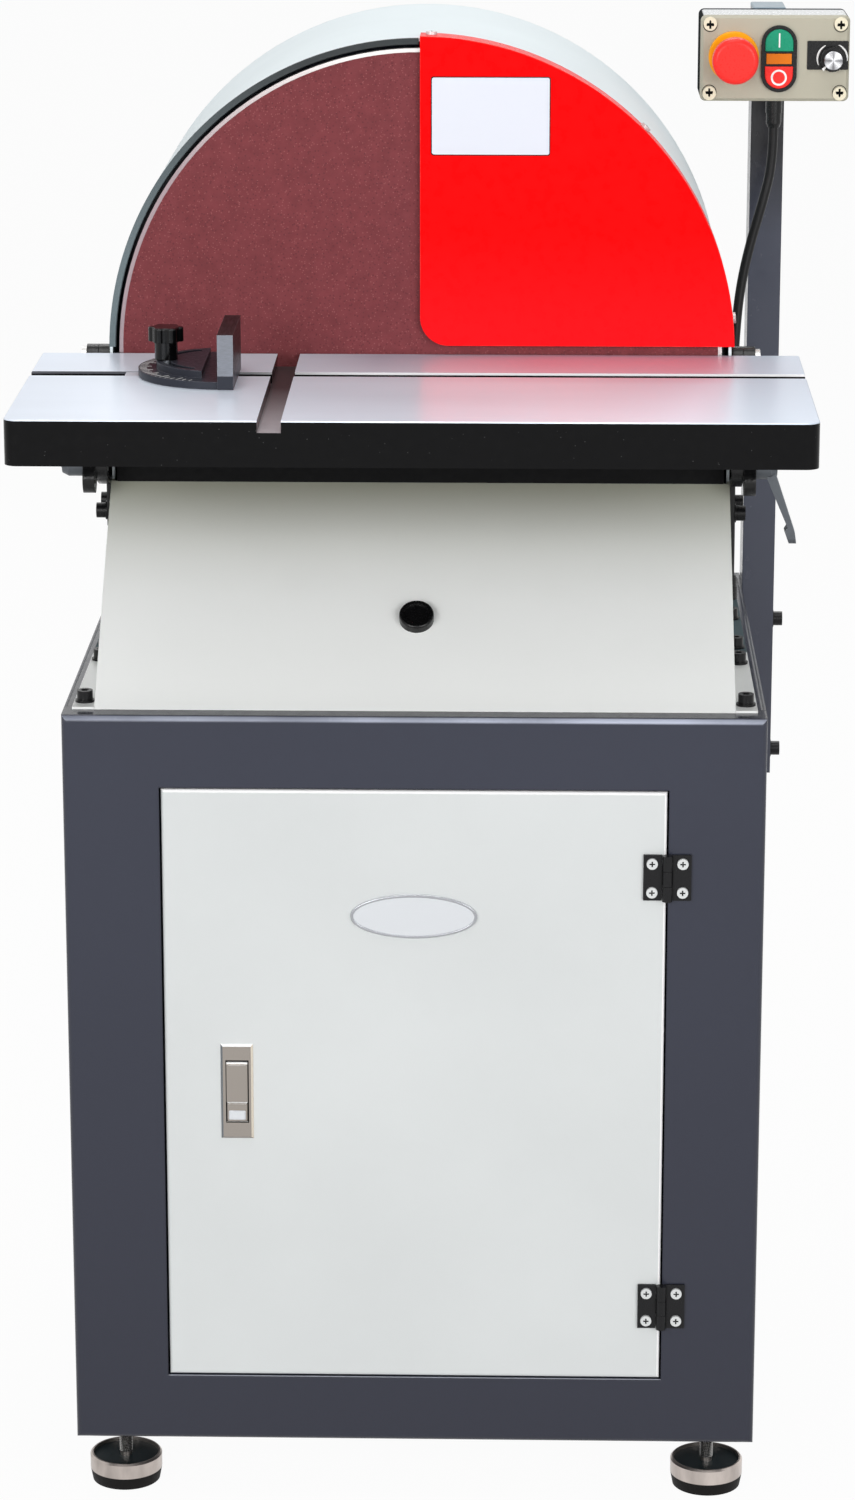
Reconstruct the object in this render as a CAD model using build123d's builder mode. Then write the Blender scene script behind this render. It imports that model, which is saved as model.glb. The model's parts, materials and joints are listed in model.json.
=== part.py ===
from build123d import *
import os
from math import acos, cos, pi, radians, sin, sqrt, tan

# A floor-standing disc sander: a sheet-steel cabinet carries a hooded disc on its motor's shaft, with a
# tilting table in front of it. Sizes are millimetres. Places are given as x to the right of the disc axis,
# y back from the sanding face and z up from the floor.

# Fits
RUN_FIT = 0.05  # radial, for what turns on a pin
SEAT_FIT = 0.02  # radial, for what is pushed home on a shaft
LOOSE_FIT = 0.3  # between pieces that pass each other
BOLT_CLEAR = 0.25  # radial, round a bolt

# Disc and shaft
DISC_R = 254.0
ABRASIVE_T = 1.0
SHEET_MARGIN = 2.5  # disc left bare round the sanding sheet
DISC_T = 16.0
HUB_R = 40.0
HUB_L = 29.0
SHAFT_R = 12.5
SHAFT_END_COVER = 7.0  # disc metal left in front of the shaft's end

# Hood, its back and the dust port
HOOD_GAP = 6.5  # air round the disc
HOOD_T = 2.5
HOOD_D = 280.0
HOOD_FOOT_W = 18.0
HOOD_LIP_W = 12.0
HOOD_BACK_T = 2.0
DISC_RAISE = 9.0  # air between the disc and the cabinet top
PORT_R = 50.0
PORT_WALL = 1.5
PORT_RISE = 66.0  # port axis above the cabinet top
PORT_REACH = 60.0  # pipe left outside the hood
PORT_FLANGE_R = 65.0
PORT_FLANGE_T = 2.0
LOUVRE_W = 90.0
LOUVRE_H = 6.0
LOUVRE_PITCH = 18.0
LOUVRE_ROWS = 5
LOUVRE_X = 125.0
LEG_HOLE_UP = 48.0

# Dust chute and its plug
CHUTE_H = 152.0
CHUTE_REACH = 196.0  # foot of the slope ahead of the hood
CHUTE_TOP_GAP = 9.0  # head of the slope ahead of the hood
CHUTE_T = 2.0
PLUG_R = 14.4
PLUG_DOWN = 0.607  # share of the slope above the plug
PLUG_PROUD = 8.0
PLUG_DISH_R = 10.0
PLUG_DISH_D = 1.5
PLUG_NECK_R = 11.0
PLUG_PAST = 2.0  # neck beyond the sheet
PLUG_EDGE_R = 2.0

# Guard over the upper right quarter of the disc
GUARD_T = 2.0
GUARD_AHEAD = 4.0  # air between guard and disc
GUARD_RIM_D = 30.0
GUARD_RIM_GAP = 0.3
GUARD_FLOOR = 6.0  # guard's lower edge above the disc axis
GUARD_CORNER_R = 24.0
GUARD_SCREW_ANGLES = (6.0, 45.0, 88.0)
GUARD_SCREW_Y = 12.0

# Motor
PLATE_T = 8.0
PLATE_BEHIND = 4.0  # air behind the disc hub
PLATE_EDGE_GAP = 0.2
PLATE_FOOT_D = 40.0
PLATE_FOOT_X = 200.0
SPIGOT_R = 65.0
FLANGE_R = 100.0
FLANGE_T = 10.0
FLANGE_BOLT_R = 82.5
MOTOR_R = 85.0
MOTOR_L = 154.0
MOTOR_BORE_R = 75.0
STATOR_BORE_R = 50.6
STATOR_END_GAP = 8.0
CHAMBER_STEP = 6.0
SHAFT_AIR = 1.5
FLANGE_BOLT_SPARE = 2.0  # thread left beyond a bolt's end
ROTOR_R = 50.0
ROTOR_END_GAP = 4.0
FIN_COUNT = 24
FIN_GAP = 5.0
FIN_DEPTH = 6.0
BEARING_R = 26.0
BEARING_W = 15.0
END_WALL = 7.0
FAN_R = 72.0
FAN_W = 24.0
FAN_BLADES = 7
FAN_BLADE_T = 3.0
FAN_HUB_R = 22.0
FAN_COVER_L = 50.0
FAN_COVER_T = 1.5
FAN_COVER_RINGS = (0.35, 0.6, 0.85)  # shares of the fan's radius
FAN_COVER_HOLES = 12
FAN_COVER_HOLE_R = 5.0
FAN_GAP = 6.0
TERMINAL_W = 60.0
TERMINAL_L = 70.0
TERMINAL_RISE = 35.0

# Cabinet, door and feet
CABINET_H = 638.0
CABINET_D = 530.0
CABINET_AHEAD = 216.0  # cabinet front ahead of the sanding face
CABINET_T = 2.5
CABINET_MARGIN = 7.25  # cabinet top left outside the hood's feet
CABINET_RETURN = 30.0
CABINET_EDGE_R = 5.0
JAMB_T = 2.0
JAMB_D = 22.0
DOOR_W = 415.0
DOOR_H = 516.3
DOOR_D = 18.0
DOOR_T = 2.0
DOOR_GAP = 1.5
DOOR_RAISE = 59.7  # door's lower edge above the cabinet's
DOOR_EDGE_R = 3.0
BADGE_W = 105.0
BADGE_H = 38.0
BADGE_T = 2.0
BADGE_DOWN = 107.0  # badge centre below the door's upper edge
FOOT_GAP = 57.5
FOOT_R = 31.0
FOOT_RUBBER_R = 29.0
FOOT_RUBBER_H = 10.5
FOOT_H = 24.0
FOOT_DISH_R = 28.2
FOOT_DISH_D = 3.0
FOOT_BEVEL = 1.5
FOOT_NUT_R = 9.5
FOOT_NUT_H = 8.0
STUD_R = 5.0
STUD_ABOVE = 22.0  # stud above the cabinet's underside
FOOT_INSET_X = 37.25
FOOT_INSET_Y = 49.0

# Door hinges
HINGE_H = 39.0
HINGE_W = 19.75
HINGE_T = 2.5
HINGE_KNUCKLE_R = 4.2
HINGE_PIN_R = 2.0
HINGE_KNUCKLE_H = 12.4
HINGE_SET_DOWN = 72.0  # upper hinge below the door's upper edge
HINGE_SET_UP = 66.3  # lower hinge above the door's lower edge
HINGE_SCREW_X = 12.6
HINGE_SCREW_Z = 12.3
HINGE_STAND_OFF = 0.4

# Door latch
LATCH_X = 147.5  # left of the door's middle
LATCH_DOWN = 261.0  # below the door's upper edge
BEZEL_W = 27.0
BEZEL_H = 83.0
BEZEL_T = 2.5
LATCH_W = 17.5
HANDLE_H = 35.4
PUSH_H = 17.0
LATCH_SET_BACK = 0.3  # handle and push behind the bezel's face
HANDLE_T = 3.0
HANDLE_PIVOT_R = 3.0
HANDLE_PIN_R = 1.5
PUSH_T = 6.0
HOUSING_T = 2.5
HOUSING_D = 16.0

# Table
TABLE_OVERHANG = 31.75  # beyond the cabinet's sides
TABLE_D = 295.0
TABLE_T = 12.0
TABLE_RIM_H = 37.0
TABLE_RIM_T = 10.0
TABLE_DROP = 2.0  # below the disc axis
TABLE_GAP = 2.0  # from the sanding face
TABLE_LAND = 1.5  # square edge left above the slanted back
TABLE_CORNER_R = 11.0
TABLE_BEVEL = 1.0
SLOT_W = 19.0
SLOT_D = 9.5
SLOT_BOSS = 12.0  # metal each side of a slot
SLOT_BOSS_H = 6.0
CROSS_SLOT_Y = 97.0  # ahead of the sanding face
DEEP_SLOT_X = -111.0

# Tilt trunnions
PIVOT_BEHIND = 14.0  # tilt axis behind the sanding face
PIVOT_DOWN = 8.0  # tilt axis below the table top
PIVOT_R = 6.0
PIVOT_HEAD_R = 11.0
PIVOT_HEAD_T = 4.0
BRACKET_T = 10.0
BRACKET_LIP_T = 5.0
BRACKET_BAND_R = 13.0
ARC_R = 93.0
ARC_START = 60.0  # below the forward direction
TILT = 45.0
CLAMP_R = 4.0
CLAMP_HEAD_R = 7.0
CLAMP_HEAD_T = 4.4
LUG_LONG = 63.0
LUG_HIGH = 44.0
LUG_DOWN = 98.0  # lug's upper edge below the tilt axis
LUG_BOLT_UP = 12.0
LUG_BOLT_IN = (7.0, 51.0)
TRUNNION_T = 10.0
TRUNNION_FOOT_T = 10.0
TRUNNION_FOOT_W = 26.7
TRUNNION_FRONT = 74.0  # ahead of the sanding face
TRUNNION_BACK = 16.0
TRUNNION_BOLT_OUT = 18.7
TRUNNION_BOLT_INSET = 11.0
TRUNNION_BOLT_DEEP = 9.0
TRUNNION_PAST = 13.0  # arm beyond the clamp stud
WEB_LEAD = 6.0
WEB_BULGE = 1.06
WEB_SHARE = 0.9
LEVER_HUB_R = 11.0
LEVER_HUB_L = 18.0
LEVER_CLAMP_L = 13.0
LEVER_L = 66.0
LEVER_T = 9.7
LEVER_W = 15.0
LEVER_FOOT = 5.3  # arm's root out from the lever's seat
LEVER_REACH = 35.2
LEVER_NECK_T = 5.0
LEVER_PAD_OUT = 33.6
LEVER_PAD_L = 11.0
LEVER_PAD_T = 8.6
LEVER_PAD_STEP = 3.8
LEVER_TIP_T = 6.2

# Mitre gauge
GAUGE_X = -160.0
GAUGE_BAR_LEFT = 81.0
GAUGE_BAR_RIGHT = 12.0
GAUGE_PIN_R = 4.0
GAUGE_HEAD_R = 70.0
GAUGE_HEAD_T = 12.0
GAUGE_SLOT_R = 47.0
GAUGE_SWING = 60.0
GAUGE_FLANGE_T = 6.0
GAUGE_PLATEAU_R = 55.0
GAUGE_PLATEAU_IN = 14.0  # plateau's straight side left of the pivot
GAUGE_RAIL_H = 11.0
LOCK_STUD_R = 3.0
LOCK_STUD_L = 34.0
FENCE_T = 13.0
FENCE_FRONT = 72.0
FENCE_BACK = 24.0
FENCE_H = 44.7
KNOB_STEM_R = 9.5
KNOB_STEM_H = 15.0
KNOB_CAP_R = 12.0
KNOB_CAP_H = 12.0
KNOB_LOBES = 6
KNOB_LOBE_R = 4.5
KNOB_LOBE_AT = 10.0

# Control post, box and controls
POST_W = 29.0
POST_D = 50.0
POST_WALL = 2.5
POST_INSET = 10.0  # ahead of the cabinet's back
POST_BELOW = 176.0  # below the cabinet top
POST_ABOVE = 523.5
POST_BOLT_DROP = (35.0, 159.0)  # below the cabinet top
CAP_T = 3.0
CAP_PLUG = 10.0
BOX_W = 130.0
BOX_H = 74.5
BOX_D = 54.0
BOX_WALL = 2.5
BOX_CORNER_R = 5.0
BOX_POST_R = 5.5
BOX_POST_INSET = 8.1
BOX_POST_DROP = 7.0
BOX_BELOW_POST = -2.0
BOX_SHIFT = 2.25  # box's middle right of the post's
LID_T = 6.0
LID_BEVEL = 2.5
LID_SCREW_HEAD_R = 5.9
STOP_MARGIN = 7.0  # lid left of the stop's collar
STOP_UP = 1.75  # above the lid's middle
STOP_R = 20.0
STOP_CAP_T = 14.0
STOP_STEM_R = 8.0
STOP_STAND = 24.0
COLLAR_R = 22.0
COLLAR_T = 5.0
COLLAR_NECK_R = 11.0
COLLAR_NECK_L = 28.0
PILL_GAP = 2.0
PILL_W = 31.0
PILL_H = 58.0
PILL_RIM = 3.0
PILL_T = 3.0
LENS_W = 22.0
LENS_H = 9.0
LENS_BAR = 1.8  # bezel above and below the lens
LENS_T = 8.0
KEY_T = 14.0
KEY_PROUD = 1.0
DIAL_GAP = 9.0
DIAL_MARGIN = 1.0
DIAL_UP = 3.0
DIAL_W = 36.0
DIAL_H = 25.0
DIAL_T = 1.0
KNOB_OFF = 4.0  # knob right of its plate's middle
SPEED_SKIRT_R = 10.5
SPEED_SKIRT_H = 7.5
SPEED_CAP_R = 8.25
SPEED_CAP_H = 7.0
SPEED_STEM_R = 3.0
SPEED_STEM_L = 22.0
POINTER_W = 1.2
POINTER_TURN = 225.0

# Cables and the speed drive
CABLE_R = 4.25
GLAND_R = 7.3
GLAND_STEM_R = 6.0
GLAND_STEM_L = 11.0
BOX_GLAND_L = 25.0
FOOT_GLAND_L = 22.0
GLAND_OUT = 11.0  # right of the hood
GLAND_BACK = 200.0
BOX_GLAND_RIGHT = 1.0  # of the box's middle
BOX_GLAND_AHEAD = 40.0  # of the post
MAINS_GLAND_L = 24.0
MAINS_GLAND_R = 11.0
MAINS_X = -200.0
MAINS_Z = 120.0
DRIVE_W = 110.0
DRIVE_H = 160.0
DRIVE_D = 120.0
DRIVE_Z = 300.0
DRIVE_FIN = 4.0

# Bolts and screws
BOLT_R = 4.0
BOLT_HEAD_R = 6.5
BOLT_HEAD_H = 8.0
BOLT_WASHER_R = 8.0
BOLT_WASHER_T = 1.6
BOLT_HEX_R = 3.5
BOLT_HEX_D = 4.0
BOLT_PAST = 6.0  # bolt end beyond the last sheet
SCREW_R = 2.0
SCREW_HEAD_R = 4.6
SCREW_HEAD_H = 2.6
SCREW_SLOT_W = 1.2
SCREW_SLOT_D = 1.3
SCREW_L = 10.0
CHUTE_BOLTS_Y = (-176.0, -36.0)
HOOD_BOLTS_Y = (17.0, 123.0, 250.0)

# Places worked out from the sizes
CABINET_TOP = FOOT_GAP + CABINET_H
AXIS_Z = CABINET_TOP + DISC_RAISE + DISC_R
HOOD_IN = DISC_R + HOOD_GAP
HOOD_OUT = HOOD_IN + HOOD_T
HOOD_FRONT = ABRASIVE_T
HOOD_END = HOOD_FRONT + HOOD_D
HOOD_FOOT = HOOD_OUT + HOOD_FOOT_W
FOOT_BOLT_X = HOOD_OUT + HOOD_FOOT_W / 2
CABINET_X = HOOD_FOOT + CABINET_MARGIN
CABINET_FRONT = -CABINET_AHEAD
CABINET_BACK = CABINET_FRONT + CABINET_D
SEAM = CABINET_FRONT + CABINET_RETURN
TABLE_X = CABINET_X + TABLE_OVERHANG
TABLE_TOP = AXIS_Z - TABLE_DROP
TABLE_FRONT = -TABLE_GAP - TABLE_D
TABLE_UNDER = TABLE_TOP - TABLE_T
TABLE_FOOT = TABLE_TOP - TABLE_RIM_H
PORT_SEAT = HOOD_END + HOOD_BACK_T
PORT_END = PORT_SEAT + PORT_REACH
PORT_Z = CABINET_TOP + PORT_RISE
DUCT_R = PORT_R - PORT_WALL
POST_X = CABINET_X + POST_W
POST_BACK = CABINET_BACK - POST_INSET
POST_FRONT = POST_BACK - POST_D
POST_TOP = CABINET_TOP + POST_ABOVE
BOX_MID = CABINET_X + POST_W / 2 + BOX_SHIFT
BOX_LEFT = BOX_MID - BOX_W / 2
BOX_RIGHT = BOX_MID + BOX_W / 2
BOX_TOP = POST_TOP - BOX_BELOW_POST
BOX_FOOT = BOX_TOP - BOX_H
LID_BACK = POST_FRONT - BOX_D
LID_FACE = LID_BACK - LID_T
PIVOT_Y = PIVOT_BEHIND
PIVOT_Z = TABLE_TOP - PIVOT_DOWN

# The model stands over the middle of its footprint
AXIS_X = (TABLE_X - BOX_RIGHT) / 2
FACE_Y = -(TABLE_FRONT + PORT_END) / 2


def facing(y):
    """Upright plane at a depth: x across, z up, its normal towards the front."""
    return Plane(origin=(AXIS_X, FACE_Y + y, 0), x_dir=(1, 0, 0), z_dir=(0, -1, 0))


def side(x):
    """Upright plane at a place across: y back, z up, its normal to the right."""
    return Plane(origin=(AXIS_X + x, FACE_Y, 0), x_dir=(0, 1, 0), z_dir=(1, 0, 0))


def level(z):
    """Flat plane at a height: x across, y back, its normal up."""
    return Plane(origin=(AXIS_X, FACE_Y, z), x_dir=(1, 0, 0), z_dir=(0, 0, 1))


def place(x, y, z):
    """A point given from the disc axis, the sanding face and the floor."""
    return (AXIS_X + x, FACE_Y + y, z)


def block(xs, ys, zs, mode=Mode.ADD):
    """A box between two values of x, of y and of z."""
    with Locations(place(sum(xs) / 2, sum(ys) / 2, sum(zs) / 2)):
        Box(xs[1] - xs[0], ys[1] - ys[0], zs[1] - zs[0], mode=mode)


def rods(plane, points, radius, length, mode=Mode.ADD):
    """Round bars, or holes, that start on a plane."""
    with BuildSketch(plane) as ends:
        with Locations(*points):
            Circle(radius)
    extrude(ends.sketch, amount=length, mode=mode)


def prism(plane, points, length, mode=Mode.ADD):
    """A straight-sided outline on a plane, drawn out along its normal."""
    with BuildSketch(plane) as outline:
        with BuildLine():
            Polyline(*points, close=True)
        make_face()
    extrude(outline.sketch, amount=length, mode=mode)


def turned(origin, along, profile, mode=Mode.ADD):
    """A turned form: points of distance along an axis and radius, swept round it."""
    across = (1, 0, 0) if abs(along[0]) < 0.5 else (0, 1, 0)
    with BuildSketch(Plane(origin=origin, x_dir=along, z_dir=across)) as outline:
        with BuildLine():
            Polyline(*profile, close=True)
        make_face()
    revolve(outline.sketch, axis=Axis(origin, along), mode=mode)


def cap_bolts(plane, points, grip):
    """Socket-head bolts with washers, seated on a plane and reaching back through the grip."""
    rods(plane, points, BOLT_R, -grip)
    rods(plane, points, BOLT_WASHER_R, BOLT_WASHER_T)
    top = plane.offset(BOLT_WASHER_T + BOLT_HEAD_H)
    rods(top, points, BOLT_HEAD_R, -BOLT_HEAD_H)
    with BuildSketch(top) as sockets:
        with Locations(*points):
            RegularPolygon(BOLT_HEX_R, 6)
    extrude(sockets.sketch, amount=-BOLT_HEX_D, mode=Mode.SUBTRACT)


def pan_screws(plane, points, length=SCREW_L, head=SCREW_HEAD_R):
    """Cross-slotted pan-head screws seated on a plane."""
    rods(plane, points, SCREW_R, -length)
    top = plane.offset(SCREW_HEAD_H)
    rods(top, points, head, -SCREW_HEAD_H)
    with BuildSketch(top) as slots:
        with Locations(*points):
            Rectangle(head, SCREW_SLOT_W)
            Rectangle(SCREW_SLOT_W, head)
    extrude(slots.sketch, amount=-SCREW_SLOT_D, mode=Mode.SUBTRACT)


def arch(radius):
    """Outline of an arch over the disc, its legs down to the cabinet top."""
    with BuildSketch(Plane.XY) as outline:
        with Locations((0, AXIS_Z)):
            Circle(radius)
        with Locations((0, (AXIS_Z + CABINET_TOP) / 2)):
            Rectangle(2 * radius, AXIS_Z - CABINET_TOP)
        with Locations((0, CABINET_TOP - radius)):
            Rectangle(4 * radius, 2 * radius, mode=Mode.SUBTRACT)
    return outline.sketch


def arch_slab(y, depth, radius, mode=Mode.ADD):
    """A slab with the arch outline, from a depth towards the back."""
    extrude(facing(y) * arch(radius), amount=-depth, mode=mode)


def save(part, name):
    """Label a finished piece and write it."""
    part.label = name
    export_step(part, f"parts/{name}.step")


os.makedirs("parts", exist_ok=True)

# Cabinet: a front pan with the door opening, two sides, a back, a top and a base
DOOR_X = DOOR_W / 2
DOOR_FOOT = FOOT_GAP + DOOR_RAISE
DOOR_TOP = DOOR_FOOT + DOOR_H
INNER_X = CABINET_X - CABINET_T
INNER_BACK = CABINET_BACK - CABINET_T
OPENING_X = (-DOOR_X - DOOR_GAP, DOOR_X + DOOR_GAP)
OPENING_Z = (DOOR_FOOT - DOOR_GAP, DOOR_TOP + DOOR_GAP)
HINGE_LEVELS = (DOOR_TOP - HINGE_SET_DOWN, DOOR_FOOT + HINGE_SET_UP)
HINGE_X = DOOR_X + DOOR_GAP / 2
HINGE_Y = CABINET_FRONT - HINGE_STAND_OFF - HINGE_KNUCKLE_R
HINGE_SCREW_POINTS = [(HINGE_SCREW_X, z + dz) for z in HINGE_LEVELS for dz in (-HINGE_SCREW_Z, HINGE_SCREW_Z)]
FRAME_SCREWS = [(HINGE_X + x, z) for x, z in HINGE_SCREW_POINTS]
DOOR_SCREWS = [(HINGE_X - x, z) for x, z in HINGE_SCREW_POINTS]
FOOT_X = CABINET_X - FOOT_INSET_X
FOOT_FRONT_Y = CABINET_FRONT + FOOT_INSET_Y
FOOT_REAR_Y = CABINET_BACK - FOOT_INSET_Y
FOOT_POINTS = [(x, y) for x in (-FOOT_X, FOOT_X) for y in (FOOT_FRONT_Y, FOOT_REAR_Y)]
HOOD_BOLTS = [(x, y) for x in (-FOOT_BOLT_X, FOOT_BOLT_X) for y in HOOD_BOLTS_Y]
CHUTE_BOLTS = [(x, y) for x in (-FOOT_BOLT_X, FOOT_BOLT_X) for y in CHUTE_BOLTS_Y]
PLATE_Y = ABRASIVE_T + DISC_T + HUB_L + PLATE_BEHIND
PLATE_BOLTS = [(x, PLATE_Y + PLATE_T + PLATE_FOOT_D / 2) for x in (-PLATE_FOOT_X, PLATE_FOOT_X)]
GLAND_X = HOOD_OUT + GLAND_OUT
POST_BOLTS = [((POST_FRONT + POST_BACK) / 2, CABINET_TOP - drop) for drop in POST_BOLT_DROP]
DRIVE_SCREWS = [(x, DRIVE_Z + z) for x in (-DRIVE_W / 3, DRIVE_W / 3) for z in (DRIVE_H / 8, DRIVE_H * 7 / 8)]

with BuildPart() as cabinet_front:
    block((-CABINET_X, CABINET_X), (CABINET_FRONT, SEAM), (FOOT_GAP, CABINET_TOP))
    front_face = cabinet_front.faces().sort_by(Axis.Y)[0]
    fillet(front_face.edges(), CABINET_EDGE_R)
    block(
        (-INNER_X, INNER_X),
        (CABINET_FRONT + CABINET_T, SEAM),
        (FOOT_GAP + CABINET_T, CABINET_TOP - CABINET_T),
        Mode.SUBTRACT,
    )
    block(
        (OPENING_X[0] - JAMB_T, OPENING_X[1] + JAMB_T),
        (CABINET_FRONT + CABINET_T, CABINET_FRONT + JAMB_D),
        (OPENING_Z[0] - JAMB_T, OPENING_Z[1] + JAMB_T),
    )
    block(OPENING_X, (CABINET_FRONT, SEAM), OPENING_Z, Mode.SUBTRACT)
    rods(facing(CABINET_FRONT), FRAME_SCREWS, SCREW_R + BOLT_CLEAR, -CABINET_T, Mode.SUBTRACT)
save(cabinet_front.part, "cabinet_front")

with BuildPart() as cabinet_sides:
    for edge in (-CABINET_X, INNER_X):
        block((edge, edge + CABINET_T), (SEAM, INNER_BACK), (FOOT_GAP, CABINET_TOP))
    rods(side(INNER_X), POST_BOLTS, BOLT_R + BOLT_CLEAR, CABINET_T, Mode.SUBTRACT)
save(cabinet_sides.part, "cabinet_sides")

with BuildPart() as cabinet_back:
    block((-CABINET_X, CABINET_X), (INNER_BACK, CABINET_BACK), (FOOT_GAP, CABINET_TOP))
    rods(facing(INNER_BACK), DRIVE_SCREWS, SCREW_R + BOLT_CLEAR, -CABINET_T, Mode.SUBTRACT)
    rods(facing(INNER_BACK), [(MAINS_X, MAINS_Z)], GLAND_STEM_R + BOLT_CLEAR, -CABINET_T, Mode.SUBTRACT)
save(cabinet_back.part, "cabinet_back")

with BuildPart() as cabinet_top:
    block((-INNER_X, INNER_X), (SEAM, INNER_BACK), (CABINET_TOP - CABINET_T, CABINET_TOP))
    top_holes = HOOD_BOLTS + CHUTE_BOLTS + PLATE_BOLTS
    rods(level(CABINET_TOP), top_holes, BOLT_R + BOLT_CLEAR, -CABINET_T, Mode.SUBTRACT)
    rods(level(CABINET_TOP), [(GLAND_X, GLAND_BACK)], GLAND_STEM_R + BOLT_CLEAR, -CABINET_T, Mode.SUBTRACT)
save(cabinet_top.part, "cabinet_top")

with BuildPart() as cabinet_base:
    block((-INNER_X, INNER_X), (SEAM, INNER_BACK), (FOOT_GAP, FOOT_GAP + CABINET_T))
    rods(level(FOOT_GAP + CABINET_T), FOOT_POINTS, FOOT_NUT_R, FOOT_NUT_H)
    rods(level(FOOT_GAP), FOOT_POINTS, STUD_R + RUN_FIT, CABINET_T + FOOT_NUT_H, Mode.SUBTRACT)
save(cabinet_base.part, "cabinet_base")

# Levelling feet: a rubber pad under a steel cup, with a threaded stud and its lock nut
FOOT_NAMES = ("foot_front_left", "foot_rear_left", "foot_front_right", "foot_rear_right")
FOOT_PROFILE = [
    (0, 0),
    (0, FOOT_RUBBER_R),
    (FOOT_RUBBER_H, FOOT_R),
    (FOOT_H - FOOT_BEVEL, FOOT_R),
    (FOOT_H, FOOT_R - FOOT_BEVEL),
    (FOOT_H, FOOT_DISH_R),
    (FOOT_H - FOOT_DISH_D, FOOT_DISH_R),
    (FOOT_H - FOOT_DISH_D, STUD_R),
    (FOOT_GAP + STUD_ABOVE, STUD_R),
    (FOOT_GAP + STUD_ABOVE, 0),
]

for foot_name, (foot_x, foot_y) in zip(FOOT_NAMES, FOOT_POINTS):
    with BuildPart() as foot:
        turned(place(foot_x, foot_y, 0), (0, 0, 1), FOOT_PROFILE)
        with BuildSketch(level(FOOT_GAP - LOOSE_FIT)):
            with Locations((foot_x, foot_y)):
                RegularPolygon(FOOT_NUT_R, 6)
        extrude(amount=-FOOT_NUT_H)
    save(foot.part, foot_name)

# Door: a shallow pan with its badge, hinges and latch
LATCH_Z = DOOR_TOP - LATCH_DOWN
WELL_W = LATCH_W + 2 * LOOSE_FIT
WELL_H = HANDLE_H + PUSH_H + 3 * LOOSE_FIT
HOUSING_W = WELL_W + 2 * HOUSING_T
HOUSING_H = WELL_H + 2 * HOUSING_T
LATCH_LEFT = -LATCH_X - HOUSING_W / 2
LATCH_FACE = CABINET_FRONT - BEZEL_T + LATCH_SET_BACK
HANDLE_TOP = LATCH_Z + WELL_H / 2 - LOOSE_FIT
HANDLE_AXIS_Y = LATCH_FACE + HANDLE_PIVOT_R
HANDLE_AXIS_Z = HANDLE_TOP - HANDLE_PIVOT_R

with BuildPart() as door_panel:
    block((-DOOR_X, DOOR_X), (CABINET_FRONT, CABINET_FRONT + DOOR_D), (DOOR_FOOT, DOOR_TOP))
    fillet(door_panel.faces().sort_by(Axis.Y)[0].edges(), DOOR_EDGE_R)
    block(
        (-DOOR_X + DOOR_T, DOOR_X - DOOR_T),
        (CABINET_FRONT + DOOR_T, CABINET_FRONT + DOOR_D),
        (DOOR_FOOT + DOOR_T, DOOR_TOP - DOOR_T),
        Mode.SUBTRACT,
    )
    block(
        (LATCH_LEFT, LATCH_LEFT + HOUSING_W),
        (CABINET_FRONT, CABINET_FRONT + DOOR_T),
        (LATCH_Z - HOUSING_H / 2, LATCH_Z + HOUSING_H / 2),
        Mode.SUBTRACT,
    )
    rods(facing(CABINET_FRONT), DOOR_SCREWS, SCREW_R + BOLT_CLEAR, -DOOR_T, Mode.SUBTRACT)
save(door_panel.part, "door_panel")

with BuildPart() as door_badge:
    with BuildSketch(facing(CABINET_FRONT)):
        with Locations((0, DOOR_TOP - BADGE_DOWN)):
            Ellipse(BADGE_W / 2, BADGE_H / 2)
    extrude(amount=BADGE_T)
    chamfer(door_badge.faces().sort_by(Axis.Y)[0].edges(), BADGE_T / 4)
save(door_badge.part, "door_badge")

with BuildPart() as latch_bezel:
    block(
        (-LATCH_X - BEZEL_W / 2, -LATCH_X + BEZEL_W / 2),
        (CABINET_FRONT - BEZEL_T, CABINET_FRONT),
        (LATCH_Z - BEZEL_H / 2, LATCH_Z + BEZEL_H / 2),
    )
    chamfer(latch_bezel.faces().sort_by(Axis.Y)[0].edges(), BEZEL_T * 0.7)
    block(
        (LATCH_LEFT, LATCH_LEFT + HOUSING_W),
        (CABINET_FRONT, CABINET_FRONT + HOUSING_D),
        (LATCH_Z - HOUSING_H / 2, LATCH_Z + HOUSING_H / 2),
    )
    block(
        (-LATCH_X - WELL_W / 2, -LATCH_X + WELL_W / 2),
        (CABINET_FRONT - BEZEL_T, CABINET_FRONT + HOUSING_D - HOUSING_T),
        (LATCH_Z - WELL_H / 2, LATCH_Z + WELL_H / 2),
        Mode.SUBTRACT,
    )
    pin_hole_half = WELL_W / 2 + HOUSING_T * 0.7
    rods(
        side(-LATCH_X - pin_hole_half),
        [(HANDLE_AXIS_Y, HANDLE_AXIS_Z)],
        HANDLE_PIN_R + RUN_FIT,
        2 * pin_hole_half,
        Mode.SUBTRACT,
    )
save(latch_bezel.part, "latch_bezel")

with BuildPart() as latch_handle:
    handle_foot = HANDLE_TOP - HANDLE_H
    block(
        (-LATCH_X - LATCH_W / 2, -LATCH_X + LATCH_W / 2),
        (LATCH_FACE, LATCH_FACE + HANDLE_T),
        (handle_foot, HANDLE_AXIS_Z),
    )
    handle_axis = [(HANDLE_AXIS_Y, HANDLE_AXIS_Z)]
    rods(side(-LATCH_X - LATCH_W / 2), handle_axis, HANDLE_PIVOT_R, LATCH_W)
    pin_half = WELL_W / 2 + HOUSING_T * 0.5
    rods(side(-LATCH_X - pin_half), handle_axis, HANDLE_PIN_R, 2 * pin_half)
save(latch_handle.part, "latch_handle")

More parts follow.
